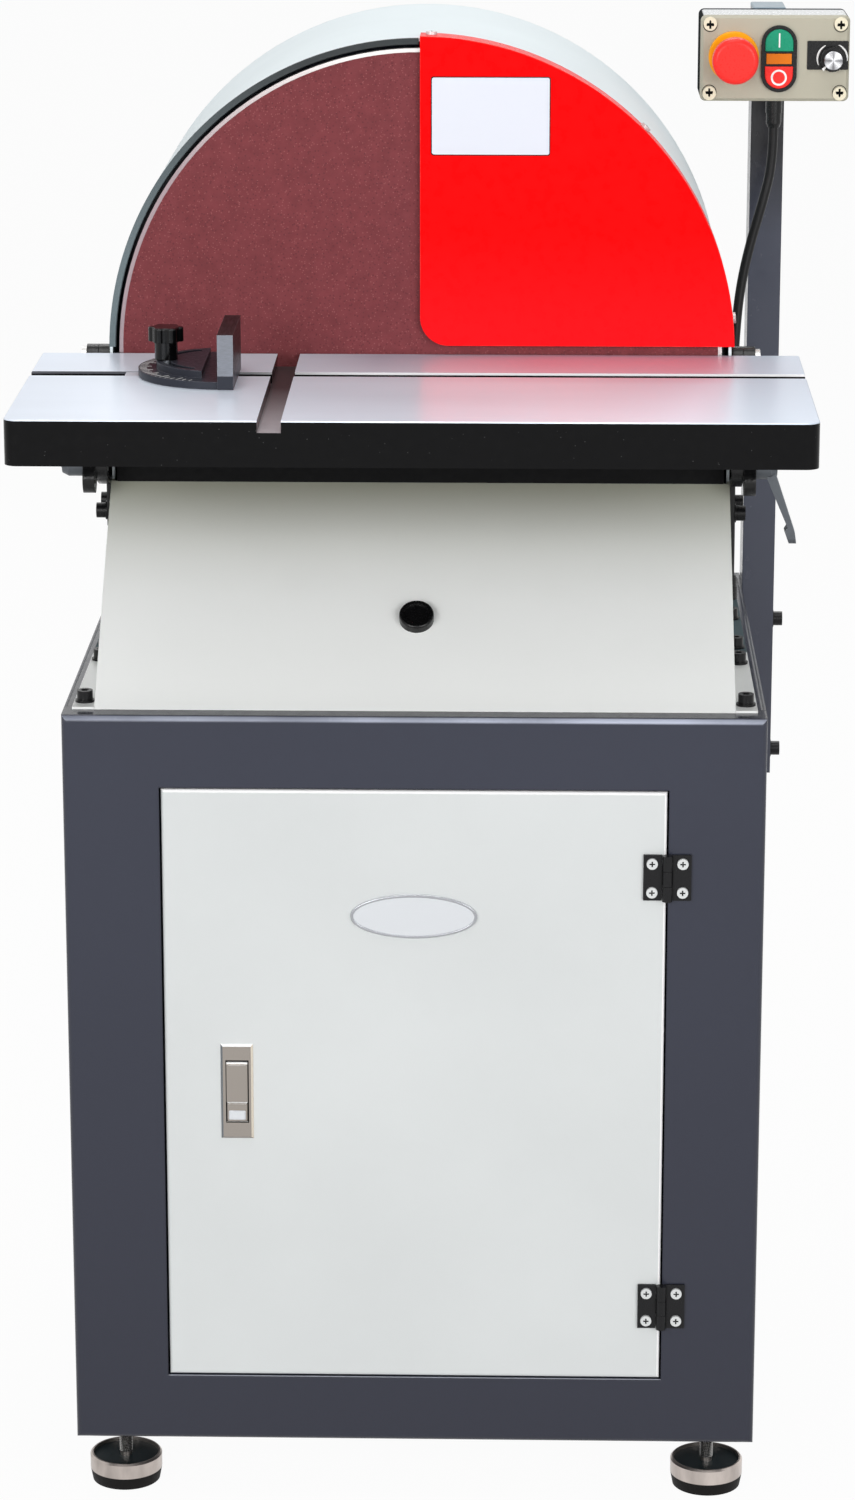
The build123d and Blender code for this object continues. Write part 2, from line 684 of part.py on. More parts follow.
with BuildPart() as latch_button:
    push_top = HANDLE_TOP - HANDLE_H - LOOSE_FIT
    block(
        (-LATCH_X - LATCH_W / 2, -LATCH_X + LATCH_W / 2),
        (LATCH_FACE, LATCH_FACE + PUSH_T),
        (push_top - PUSH_H, push_top),
    )
    chamfer(latch_button.faces().sort_by(Axis.Y)[0].edges(), LATCH_SET_BACK * 3)
save(latch_button.part, "latch_button")

# Hinges: the frame leaf carries the pin, and the door leaf's knuckle turns on it
KNUCKLE_CUT = HINGE_KNUCKLE_R + LOOSE_FIT
KNUCKLE_HALF = HINGE_KNUCKLE_H / 2

with BuildPart() as hinge_frame_leaves:
    for hinge_z in HINGE_LEVELS:
        block(
            (HINGE_X, HINGE_X + HINGE_W),
            (CABINET_FRONT - HINGE_T, CABINET_FRONT),
            (hinge_z - HINGE_H / 2, hinge_z + HINGE_H / 2),
        )
        block(
            (HINGE_X, HINGE_X + KNUCKLE_CUT),
            (CABINET_FRONT - HINGE_T, CABINET_FRONT),
            (hinge_z - KNUCKLE_HALF - LOOSE_FIT, hinge_z + KNUCKLE_HALF + LOOSE_FIT),
            Mode.SUBTRACT,
        )
        knuckle_l = HINGE_H / 2 - KNUCKLE_HALF - LOOSE_FIT
        rods(level(hinge_z + HINGE_H / 2), [(HINGE_X, HINGE_Y)], HINGE_KNUCKLE_R, -knuckle_l)
        rods(level(hinge_z - HINGE_H / 2), [(HINGE_X, HINGE_Y)], HINGE_KNUCKLE_R, knuckle_l)
        rods(level(hinge_z - HINGE_H / 2), [(HINGE_X, HINGE_Y)], HINGE_PIN_R, HINGE_H)
    rods(facing(CABINET_FRONT), FRAME_SCREWS, SCREW_R + BOLT_CLEAR, HINGE_T, Mode.SUBTRACT)
save(hinge_frame_leaves.part, "hinge_frame_leaves")

with BuildPart() as hinge_door_leaves:
    for hinge_z in HINGE_LEVELS:
        block(
            (HINGE_X - HINGE_W, HINGE_X - KNUCKLE_CUT),
            (CABINET_FRONT - HINGE_T, CABINET_FRONT),
            (hinge_z - HINGE_H / 2, hinge_z + HINGE_H / 2),
        )
        block(
            (HINGE_X - KNUCKLE_CUT, HINGE_X),
            (CABINET_FRONT - HINGE_T, CABINET_FRONT - HINGE_STAND_OFF),
            (hinge_z - KNUCKLE_HALF, hinge_z + KNUCKLE_HALF),
        )
        rods(level(hinge_z - KNUCKLE_HALF), [(HINGE_X, HINGE_Y)], HINGE_KNUCKLE_R, HINGE_KNUCKLE_H)
        rods(
            level(hinge_z - KNUCKLE_HALF),
            [(HINGE_X, HINGE_Y)],
            HINGE_PIN_R + RUN_FIT,
            HINGE_KNUCKLE_H,
            Mode.SUBTRACT,
        )
    rods(facing(CABINET_FRONT), DOOR_SCREWS, SCREW_R + BOLT_CLEAR, HINGE_T, Mode.SUBTRACT)
save(hinge_door_leaves.part, "hinge_door_leaves")

with BuildPart() as hinge_door_screws:
    pan_screws(facing(CABINET_FRONT - HINGE_T), DOOR_SCREWS)
save(hinge_door_screws.part, "hinge_door_screws")

# Hood: an arched band on feet, with a lip at the back for the cover
LIP_HOLES = [
    ((HOOD_IN - HOOD_LIP_W / 2) * cos(radians(a)), AXIS_Z + (HOOD_IN - HOOD_LIP_W / 2) * sin(radians(a)))
    for a in (0, 45, 90, 135, 180)
]
LEG_HOLES = [(x, CABINET_TOP + LEG_HOLE_UP) for x in (HOOD_LIP_W / 2 - HOOD_IN, HOOD_IN - HOOD_LIP_W / 2)]
BACK_HOLES = LIP_HOLES + LEG_HOLES
PORT_HOLES_R = (PORT_R + PORT_FLANGE_R) / 2
PORT_HOLES = [
    (PORT_HOLES_R * cos(radians(a)), PORT_Z + PORT_HOLES_R * sin(radians(a))) for a in (45, 135, 225, 315)
]
LUG_BOLTS = [(HOOD_FRONT + run, PIVOT_Z - LUG_DOWN - LUG_HIGH + LUG_BOLT_UP) for run in LUG_BOLT_IN]
GUARD_R = HOOD_OUT + GUARD_RIM_GAP + GUARD_T
GUARD_SCREW_PLANES = [
    Plane(
        origin=place(GUARD_R * cos(radians(a)), GUARD_SCREW_Y, AXIS_Z + GUARD_R * sin(radians(a))),
        x_dir=(0, 1, 0),
        z_dir=(cos(radians(a)), 0, sin(radians(a))),
    )
    for a in GUARD_SCREW_ANGLES
]

with BuildPart() as hood_band:
    arch_slab(HOOD_FRONT, HOOD_D, HOOD_OUT)
    arch_slab(HOOD_FRONT, HOOD_D - HOOD_T, HOOD_IN, Mode.SUBTRACT)
    arch_slab(HOOD_FRONT, HOOD_D, HOOD_IN - HOOD_LIP_W, Mode.SUBTRACT)
    for edge in (-HOOD_FOOT, HOOD_OUT):
        block((edge, edge + HOOD_FOOT_W), (HOOD_FRONT, HOOD_END), (CABINET_TOP, CABINET_TOP + HOOD_T))
    rods(level(CABINET_TOP), HOOD_BOLTS, BOLT_R + BOLT_CLEAR, HOOD_T, Mode.SUBTRACT)
    rods(level(CABINET_TOP), [(GLAND_X, GLAND_BACK)], GLAND_STEM_R + BOLT_CLEAR, HOOD_T, Mode.SUBTRACT)
    rods(facing(HOOD_END), BACK_HOLES, SCREW_R + BOLT_CLEAR, HOOD_T, Mode.SUBTRACT)
    for edge in (-HOOD_OUT, HOOD_IN):
        rods(side(edge), LUG_BOLTS, BOLT_R + BOLT_CLEAR, HOOD_T, Mode.SUBTRACT)
        rods(side(edge), [(PIVOT_Y, PIVOT_Z)], PIVOT_R + RUN_FIT, HOOD_T, Mode.SUBTRACT)
    for screw_plane in GUARD_SCREW_PLANES:
        rods(screw_plane, [(0, 0)], SCREW_R + BOLT_CLEAR, -SCREW_L, Mode.SUBTRACT)
save(hood_band.part, "hood_band")

with BuildPart() as hood_back:
    arch_slab(HOOD_END, HOOD_BACK_T, HOOD_OUT)
    rods(facing(HOOD_END), [(0, PORT_Z)], DUCT_R + BOLT_CLEAR, -HOOD_BACK_T, Mode.SUBTRACT)
    rods(facing(HOOD_END), BACK_HOLES + PORT_HOLES, SCREW_R + BOLT_CLEAR, -HOOD_BACK_T, Mode.SUBTRACT)
    with BuildSketch(facing(HOOD_END)):
        with Locations((-LOUVRE_X, AXIS_Z), (LOUVRE_X, AXIS_Z)):
            with GridLocations(0, LOUVRE_PITCH, 1, LOUVRE_ROWS):
                SlotOverall(LOUVRE_W, LOUVRE_H)
    extrude(amount=-HOOD_BACK_T, mode=Mode.SUBTRACT)
save(hood_back.part, "hood_back")

with BuildPart() as dust_port:
    flange_face = PORT_SEAT + PORT_FLANGE_T
    rods(facing(PLATE_Y), [(0, PORT_Z)], DUCT_R, PLATE_Y - flange_face)
    rods(facing(PORT_SEAT), [(0, PORT_Z)], PORT_FLANGE_R, -PORT_FLANGE_T)
    rods(facing(flange_face), [(0, PORT_Z)], PORT_R, flange_face - PORT_END)
    rods(facing(flange_face), [(0, PORT_Z)], DUCT_R, flange_face - PORT_END, Mode.SUBTRACT)
    rods(facing(PLATE_Y), [(0, PORT_Z)], DUCT_R - PORT_WALL, PLATE_Y - flange_face, Mode.SUBTRACT)
    rods(facing(PORT_SEAT), PORT_HOLES, SCREW_R + BOLT_CLEAR, -PORT_FLANGE_T, Mode.SUBTRACT)
save(dust_port.part, "dust_port")

# Dust chute: a slope up to the disc between two cheeks that meet the hood, on feet like the hood's
SLOPE_FOOT = (HOOD_FRONT - CHUTE_REACH, CABINET_TOP)
SLOPE_HEAD = (HOOD_FRONT - CHUTE_TOP_GAP, CABINET_TOP + CHUTE_H)
SLOPE_RUN = SLOPE_HEAD[0] - SLOPE_FOOT[0]
SLOPE_L = sqrt(SLOPE_RUN**2 + CHUTE_H**2)
SLOPE_COS = SLOPE_RUN / SLOPE_L
SLOPE_SIN = CHUTE_H / SLOPE_L
PLUG_Y = SLOPE_HEAD[0] - PLUG_DOWN * SLOPE_RUN
PLUG_Z = SLOPE_HEAD[1] - PLUG_DOWN * CHUTE_H
PLUG_SEAT = Plane(origin=place(0, PLUG_Y, PLUG_Z), x_dir=(1, 0, 0), z_dir=(0, -SLOPE_SIN, SLOPE_COS))

with BuildPart() as dust_chute:
    slope = [
        SLOPE_FOOT,
        SLOPE_HEAD,
        (SLOPE_HEAD[0] + CHUTE_T * SLOPE_SIN, SLOPE_HEAD[1] - CHUTE_T * SLOPE_COS),
        (SLOPE_FOOT[0] + CHUTE_T / SLOPE_SIN, CABINET_TOP),
    ]
    prism(side(-HOOD_OUT), slope, 2 * HOOD_OUT)
    cheek = [SLOPE_FOOT, SLOPE_HEAD, (HOOD_FRONT, SLOPE_HEAD[1]), (HOOD_FRONT, CABINET_TOP)]
    for edge in (-HOOD_OUT, HOOD_OUT - CHUTE_T):
        prism(side(edge), cheek, CHUTE_T)
    for edge in (-HOOD_FOOT, HOOD_OUT):
        block((edge, edge + HOOD_FOOT_W), (SLOPE_FOOT[0], HOOD_FRONT), (CABINET_TOP, CABINET_TOP + CHUTE_T))
    rods(level(CABINET_TOP), CHUTE_BOLTS, BOLT_R + BOLT_CLEAR, CHUTE_T, Mode.SUBTRACT)
    rods(PLUG_SEAT, [(0, 0)], PLUG_NECK_R + BOLT_CLEAR, -CHUTE_T, Mode.SUBTRACT)
save(dust_chute.part, "dust_chute")

with BuildPart() as chute_plug:
    rods(PLUG_SEAT, [(0, 0)], PLUG_R, PLUG_PROUD)
    fillet(chute_plug.faces().sort_by(Axis(PLUG_SEAT.origin, PLUG_SEAT.z_dir))[-1].edges(), PLUG_EDGE_R)
    rods(PLUG_SEAT.offset(PLUG_PROUD), [(0, 0)], PLUG_DISH_R, -PLUG_DISH_D, Mode.SUBTRACT)
    rods(PLUG_SEAT, [(0, 0)], PLUG_NECK_R, -CHUTE_T - PLUG_PAST)
save(chute_plug.part, "chute_plug")

# Guard: a quarter plate ahead of the disc with a rim that wraps over the hood
GUARD_FRONT = -GUARD_AHEAD - GUARD_T


def quarter(outer, inner=0.0):
    """Upper right quarter of a disc or ring about the disc axis, cut off at the guard's lower edge."""
    with BuildSketch(Plane.XY) as outline:
        with Locations((0, AXIS_Z)):
            Circle(outer)
            if inner:
                Circle(inner, mode=Mode.SUBTRACT)
        with Locations((outer, AXIS_Z + GUARD_FLOOR + outer)):
            Rectangle(2 * outer, 2 * outer, mode=Mode.INTERSECT)
    return outline.sketch


with BuildPart() as disc_guard:
    extrude(facing(GUARD_FRONT) * quarter(GUARD_R), amount=-GUARD_T)
    inner_corner = disc_guard.edges().filter_by(Axis.Y).sort_by_distance(place(0, 0, AXIS_Z))[0]
    fillet(inner_corner, GUARD_CORNER_R)
    extrude(facing(GUARD_FRONT) * quarter(GUARD_R, GUARD_R - GUARD_T), amount=-GUARD_RIM_D)
    for screw_plane in GUARD_SCREW_PLANES:
        rods(screw_plane, [(0, 0)], SCREW_R + BOLT_CLEAR, -SCREW_L, Mode.SUBTRACT)
save(disc_guard.part, "disc_guard")

# Disc, shaft and rotor
HUB_END = ABRASIVE_T + DISC_T + HUB_L
SHAFT_FRONT = ABRASIVE_T + SHAFT_END_COVER
FLANGE_FACE = PLATE_Y + PLATE_T
BODY_FRONT = FLANGE_FACE + FLANGE_T
BODY_END = BODY_FRONT + MOTOR_L
FRONT_BEARING = FLANGE_FACE
REAR_BEARING = BODY_END - END_WALL - BEARING_W
STATOR_FRONT = FRONT_BEARING + BEARING_W + STATOR_END_GAP
STATOR_END = REAR_BEARING - STATOR_END_GAP
SHAFT_END = BODY_END + FAN_GAP + FAN_W
DISC_CENTRE = place(0, 0, AXIS_Z)
BACKWARD = (0, 1, 0)

with BuildPart() as sanding_sheet:
    rods(facing(0), [(0, AXIS_Z)], DISC_R - SHEET_MARGIN, -ABRASIVE_T)
save(sanding_sheet.part, "sanding_sheet")

with BuildPart() as disc_plate:
    rods(facing(ABRASIVE_T), [(0, AXIS_Z)], DISC_R, -DISC_T)
    rods(facing(HUB_END), [(0, AXIS_Z)], HUB_R, HUB_L)
    rods(facing(HUB_END), [(0, AXIS_Z)], SHAFT_R + SEAT_FIT, HUB_END - SHAFT_FRONT, Mode.SUBTRACT)
save(disc_plate.part, "disc_plate")

with BuildPart() as rotor_shaft:
    rods(facing(SHAFT_FRONT), [(0, AXIS_Z)], SHAFT_R, SHAFT_FRONT - SHAFT_END)
    rotor_front = STATOR_FRONT + ROTOR_END_GAP
    rotor_end = STATOR_END - ROTOR_END_GAP
    rods(facing(rotor_front), [(0, AXIS_Z)], ROTOR_R, rotor_front - rotor_end)
save(rotor_shaft.part, "rotor_shaft")

# Motor: flange with the front bearing, finned body with the stator and the rear bearing, fan and cover
SHAFT_HOLE_R = SHAFT_R + SHAFT_AIR
SEAT_R = BEARING_R + SEAT_FIT
END_CHAMBER_R = MOTOR_BORE_R - CHAMBER_STEP
FLANGE_BOLTS = [
    (FLANGE_BOLT_R * cos(radians(a)), AXIS_Z + FLANGE_BOLT_R * sin(radians(a))) for a in (45, 135, 225, 315)
]

with BuildPart() as motor_plate:
    arch_slab(PLATE_Y, PLATE_T, HOOD_IN - PLATE_EDGE_GAP)
    block(
        (-PLATE_FOOT_X - PLATE_FOOT_D, PLATE_FOOT_X + PLATE_FOOT_D),
        (PLATE_Y, PLATE_Y + PLATE_T + PLATE_FOOT_D),
        (CABINET_TOP, CABINET_TOP + PLATE_T),
    )
    rods(facing(PLATE_Y), [(0, AXIS_Z)], SPIGOT_R + PLATE_EDGE_GAP, -PLATE_T, Mode.SUBTRACT)
    rods(facing(PLATE_Y), [(0, PORT_Z)], DUCT_R + PLATE_EDGE_GAP, -PLATE_T, Mode.SUBTRACT)
    rods(facing(PLATE_Y), FLANGE_BOLTS, BOLT_R + BOLT_CLEAR, -PLATE_T, Mode.SUBTRACT)
    rods(level(CABINET_TOP), PLATE_BOLTS, BOLT_R + BOLT_CLEAR, PLATE_T, Mode.SUBTRACT)
save(motor_plate.part, "motor_plate")

with BuildPart() as motor_flange:
    turned(
        DISC_CENTRE,
        BACKWARD,
        [
            (PLATE_Y, SHAFT_HOLE_R),
            (PLATE_Y, SPIGOT_R),
            (FLANGE_FACE, SPIGOT_R),
            (FLANGE_FACE, FLANGE_R),
            (BODY_FRONT, FLANGE_R),
            (BODY_FRONT, MOTOR_BORE_R - PLATE_EDGE_GAP),
            (FRONT_BEARING + BEARING_W, MOTOR_BORE_R - PLATE_EDGE_GAP),
            (FRONT_BEARING + BEARING_W, SEAT_R),
            (FRONT_BEARING, SEAT_R),
            (FRONT_BEARING, SHAFT_HOLE_R),
        ],
    )
    rods(facing(FLANGE_FACE), FLANGE_BOLTS, BOLT_R + SEAT_FIT, -FLANGE_T, Mode.SUBTRACT)
save(motor_flange.part, "motor_flange")

with BuildPart() as motor_body:
    turned(
        DISC_CENTRE,
        BACKWARD,
        [
            (BODY_FRONT, MOTOR_BORE_R),
            (BODY_FRONT, MOTOR_R),
            (BODY_END, MOTOR_R),
            (BODY_END, SHAFT_HOLE_R),
            (REAR_BEARING + BEARING_W, SHAFT_HOLE_R),
            (REAR_BEARING + BEARING_W, SEAT_R),
            (REAR_BEARING, SEAT_R),
            (REAR_BEARING, END_CHAMBER_R),
            (STATOR_END, END_CHAMBER_R),
            (STATOR_END, STATOR_BORE_R),
            (STATOR_FRONT, STATOR_BORE_R),
            (STATOR_FRONT, MOTOR_BORE_R),
        ],
    )
    fin_front = BODY_FRONT + FLANGE_T
    fin_end = BODY_END - FLANGE_T
    with BuildSketch(facing(fin_front)):
        with Locations((0, AXIS_Z)):
            with PolarLocations(MOTOR_R, FIN_COUNT, start_angle=180 / FIN_COUNT):
                Rectangle(2 * FIN_DEPTH, FIN_GAP)
    extrude(amount=fin_front - fin_end, mode=Mode.SUBTRACT)
    terminal_mid = (BODY_FRONT + BODY_END) / 2
    block(
        (-TERMINAL_W / 2, TERMINAL_W / 2),
        (terminal_mid - TERMINAL_L / 2, terminal_mid + TERMINAL_L / 2),
        (AXIS_Z + MOTOR_R - 2 * FIN_DEPTH, AXIS_Z + MOTOR_R + TERMINAL_RISE),
    )
    bore_profile = [
        (STATOR_FRONT, 0),
        (STATOR_FRONT, STATOR_BORE_R),
        (STATOR_END, STATOR_BORE_R),
        (STATOR_END, 0),
    ]
    turned(DISC_CENTRE, BACKWARD, bore_profile, Mode.SUBTRACT)
save(motor_body.part, "motor_body")

with BuildPart() as motor_bearings:
    for bearing_front in (FRONT_BEARING, REAR_BEARING):
        rods(facing(bearing_front), [(0, AXIS_Z)], BEARING_R, -BEARING_W)
    rods(facing(FRONT_BEARING), [(0, AXIS_Z)], SHAFT_R + SEAT_FIT, FRONT_BEARING - BODY_END, Mode.SUBTRACT)
save(motor_bearings.part, "motor_bearings")

with BuildPart() as cooling_fan:
    fan_front = SHAFT_END - FAN_W
    rods(facing(fan_front), [(0, AXIS_Z)], FAN_HUB_R, -FAN_W)
    with BuildSketch(facing(fan_front)):
        with Locations((0, AXIS_Z)):
            with PolarLocations((FAN_HUB_R + FAN_R) / 2, FAN_BLADES):
                Rectangle(FAN_R - FAN_HUB_R + FAN_BLADE_T, FAN_BLADE_T)
    extrude(amount=-FAN_W)
    rods(facing(fan_front), [(0, AXIS_Z)], SHAFT_R + SEAT_FIT, -FAN_W, Mode.SUBTRACT)
save(cooling_fan.part, "cooling_fan")

with BuildPart() as fan_cover:
    cover_end = BODY_END + FAN_COVER_L
    rods(facing(BODY_END), [(0, AXIS_Z)], MOTOR_R, -FAN_COVER_L)
    rods(facing(BODY_END), [(0, AXIS_Z)], MOTOR_R - FAN_COVER_T, FAN_COVER_T - FAN_COVER_L, Mode.SUBTRACT)
    with BuildSketch(facing(cover_end)):
        for ring in FAN_COVER_RINGS:
            with Locations((0, AXIS_Z)):
                with PolarLocations(ring * FAN_R, FAN_COVER_HOLES):
                    Circle(FAN_COVER_HOLE_R)
    extrude(amount=FAN_COVER_T, mode=Mode.SUBTRACT)
save(fan_cover.part, "fan_cover")

# Table: a ground plate with a deep rim and two crossing slots, slanted at the back to clear the disc
SLANT = PIVOT_Y + TABLE_GAP + PIVOT_DOWN - TABLE_LAND
CROSS_Y = -CROSS_SLOT_Y
SLOT_HALF = SLOT_W / 2
BOSS_HALF = SLOT_HALF + SLOT_BOSS
TRUNNION_IN = HOOD_OUT + BRACKET_T + LOOSE_FIT
TRUNNION_OUT = TRUNNION_IN + TRUNNION_T
TRUNNION_BOLT_X = TRUNNION_IN + TRUNNION_BOLT_OUT
TRUNNION_BOLT_Y = (-TRUNNION_FRONT + TRUNNION_BOLT_INSET, -TRUNNION_BACK - TRUNNION_BOLT_INSET)
TRUNNION_BOLTS = [(x, y) for x in (-TRUNNION_BOLT_X, TRUNNION_BOLT_X) for y in TRUNNION_BOLT_Y]

with BuildPart() as work_table:
    block((-TABLE_X, TABLE_X), (TABLE_FRONT, -TABLE_GAP), (TABLE_FOOT, TABLE_TOP))
    front_corners = work_table.edges().filter_by(Axis.Z).group_by(Axis.Y)[0]
    fillet(front_corners, TABLE_CORNER_R)
    top_edges = work_table.faces().sort_by(Axis.Z)[-1].edges().sort_by(Axis.Y)
    chamfer(top_edges[:-1], TABLE_BEVEL)
    block(
        (-TABLE_X + TABLE_RIM_T, TABLE_X - TABLE_RIM_T),
        (TABLE_FRONT + TABLE_RIM_T, -TABLE_GAP),
        (TABLE_FOOT, TABLE_UNDER),
        Mode.SUBTRACT,
    )
    block(
        (-TABLE_X + TABLE_RIM_T, TABLE_X - TABLE_RIM_T),
        (CROSS_Y - BOSS_HALF, CROSS_Y + BOSS_HALF),
        (TABLE_UNDER - SLOT_BOSS_H, TABLE_UNDER),
    )
    block(
        (DEEP_SLOT_X - BOSS_HALF, DEEP_SLOT_X + BOSS_HALF),
        (TABLE_FRONT + TABLE_RIM_T, -TABLE_GAP),
        (TABLE_UNDER - SLOT_BOSS_H, TABLE_UNDER),
    )
    block(
        (-TABLE_X, TABLE_X),
        (CROSS_Y - SLOT_HALF, CROSS_Y + SLOT_HALF),
        (TABLE_TOP - SLOT_D, TABLE_TOP),
        Mode.SUBTRACT,
    )
    block(
        (DEEP_SLOT_X - SLOT_HALF, DEEP_SLOT_X + SLOT_HALF),
        (TABLE_FRONT, -TABLE_GAP),
        (TABLE_TOP - SLOT_D, TABLE_TOP),
        Mode.SUBTRACT,
    )
    slant_wedge = [
        (-TABLE_GAP, TABLE_TOP - TABLE_LAND),
        (PIVOT_Y - SLANT + TABLE_FOOT - PIVOT_Z, TABLE_FOOT),
        (-TABLE_GAP, TABLE_FOOT),
    ]
    prism(side(-TABLE_X), slant_wedge, 2 * TABLE_X, Mode.SUBTRACT)
    rods(level(TABLE_UNDER), TRUNNION_BOLTS, BOLT_R + SEAT_FIT, TRUNNION_BOLT_DEEP, Mode.SUBTRACT)
save(work_table.part, "work_table")

# Tilt trunnions: slotted brackets on the hood, moving arms under the table, pins, clamp studs and levers
CLAMP_Y = PIVOT_Y - ARC_R * cos(radians(ARC_START))
CLAMP_Z = PIVOT_Z - ARC_R * sin(radians(ARC_START))
ARC_FROM = 180 + ARC_START
LIP_IN = HOOD_OUT + BRACKET_T - BRACKET_LIP_T


def arc_slot(plane, half_width, length, mode=Mode.ADD):
    """A curved slot about the tilt axis, over the clamp stud's travel."""
    with BuildSketch(plane) as slot:
        with BuildLine(mode=Mode.PRIVATE) as path:
            CenterArc((PIVOT_Y, PIVOT_Z), ARC_R, ARC_FROM, TILT)
        SlotArc(arc=path.edge(), height=2 * half_width)
    extrude(slot.sketch, amount=length, mode=mode)


def arc_point(angle, radius=ARC_R):
    """A point round the tilt axis, by its angle below the forward direction."""
    return (PIVOT_Y - radius * cos(radians(angle)), PIVOT_Z - radius * sin(radians(angle)))


def bracket(inner, outward):
    """One fixed bracket: pivot boss, web, slotted band and bolting lug, from the hood's face outward."""
    face = side(inner)
    rods(face, [(PIVOT_Y, PIVOT_Z)], BRACKET_BAND_R, outward * BRACKET_T)
    arc_slot(face, BRACKET_BAND_R, outward * BRACKET_T)
    web = [(PIVOT_Y, PIVOT_Z), arc_point(ARC_START + WEB_LEAD)]
    web.extend([arc_point(ARC_START + TILT / 2, WEB_BULGE * ARC_R), arc_point(ARC_START + TILT)])
    prism(face, web, outward * BRACKET_T)
    lug = [
        (HOOD_FRONT, PIVOT_Z - LUG_DOWN),
        (HOOD_FRONT + LUG_LONG, PIVOT_Z - LUG_DOWN),
        (HOOD_FRONT + LUG_LONG, PIVOT_Z - LUG_DOWN - LUG_HIGH),
        (HOOD_FRONT, PIVOT_Z - LUG_DOWN - LUG_HIGH),
    ]
    prism(face, lug, outward * BRACKET_LIP_T)
    arc_slot(face, CLAMP_R + LOOSE_FIT, outward * BRACKET_T, Mode.SUBTRACT)
    arc_slot(face, CLAMP_HEAD_R + BOLT_CLEAR * 2, outward * (BRACKET_T - BRACKET_LIP_T), Mode.SUBTRACT)
    rods(face, [(PIVOT_Y, PIVOT_Z)], PIVOT_R + RUN_FIT, outward * BRACKET_T, Mode.SUBTRACT)
    rods(face, LUG_BOLTS, BOLT_R + BOLT_CLEAR, outward * BRACKET_LIP_T, Mode.SUBTRACT)


with BuildPart() as tilt_brackets:
    bracket(-HOOD_OUT, -1)
    bracket(HOOD_OUT, 1)
save(tilt_brackets.part, "tilt_brackets")

with BuildPart() as tilt_pivot_pins:
    for hand in (-1, 1):
        rods(side(hand * HOOD_IN), [(PIVOT_Y, PIVOT_Z)], PIVOT_R, hand * (TRUNNION_OUT + LOOSE_FIT - HOOD_IN))
        head_in = TRUNNION_OUT + LOOSE_FIT
        rods(side(hand * head_in), [(PIVOT_Y, PIVOT_Z)], PIVOT_HEAD_R, hand * PIVOT_HEAD_T)
save(tilt_pivot_pins.part, "tilt_pivot_pins")

ARM_END = arc_point(ARC_START, ARC_R + TRUNNION_PAST)

with BuildPart() as table_trunnions:
    for hand in (-1, 1):
        face = side(hand * TRUNNION_IN)
        with BuildSketch(face) as arm:
            SlotCenterPoint(
                ((PIVOT_Y + ARM_END[0]) / 2, (PIVOT_Z + ARM_END[1]) / 2),
                ARM_END,
                2 * BRACKET_BAND_R,
            )
        extrude(arm.sketch, amount=hand * TRUNNION_T)
        web = [
            (CLAMP_Y - BRACKET_BAND_R * WEB_SHARE, CLAMP_Z),
            (PIVOT_Y, PIVOT_Z - BRACKET_BAND_R * WEB_SHARE),
            (-TRUNNION_BACK, TABLE_UNDER),
            (-TRUNNION_FRONT, TABLE_UNDER),
            (-TRUNNION_FRONT, TABLE_UNDER - TRUNNION_FOOT_T),
        ]
        prism(face, web, hand * TRUNNION_T)
        foot_x = sorted((hand * TRUNNION_IN, hand * (TRUNNION_IN + TRUNNION_FOOT_W)))
        foot_z = (TABLE_UNDER - TRUNNION_FOOT_T, TABLE_UNDER)
        block(foot_x, (-TRUNNION_FRONT, -TRUNNION_BACK), foot_z)
        rods(face, [(PIVOT_Y, PIVOT_Z)], PIVOT_R + RUN_FIT, hand * TRUNNION_T, Mode.SUBTRACT)
        rods(face, [(CLAMP_Y, CLAMP_Z)], CLAMP_R + RUN_FIT, hand * TRUNNION_T, Mode.SUBTRACT)
    foot_under = level(TABLE_UNDER - TRUNNION_FOOT_T)
    rods(foot_under, TRUNNION_BOLTS, BOLT_R + BOLT_CLEAR, TRUNNION_FOOT_T, Mode.SUBTRACT)
save(table_trunnions.part, "table_trunnions")

with BuildPart() as table_bolts:
    for hand in (-1, 1):
        head_in = HOOD_OUT + LOOSE_FIT
        stud_l = TRUNNION_OUT + LOOSE_FIT + LEVER_CLAMP_L - head_in
        rods(side(hand * head_in), [(CLAMP_Y, CLAMP_Z)], CLAMP_HEAD_R, hand * CLAMP_HEAD_T)
        rods(side(hand * head_in), [(CLAMP_Y, CLAMP_Z)], CLAMP_R, hand * stud_l)
    bolt_seat = level(TABLE_UNDER - TRUNNION_FOOT_T)
    rods(bolt_seat, TRUNNION_BOLTS, BOLT_R, TRUNNION_FOOT_T + TRUNNION_BOLT_DEEP - LOOSE_FIT)
    rods(bolt_seat, TRUNNION_BOLTS, BOLT_HEAD_R, -BOLT_HEAD_H)
save(table_bolts.part, "table_bolts")


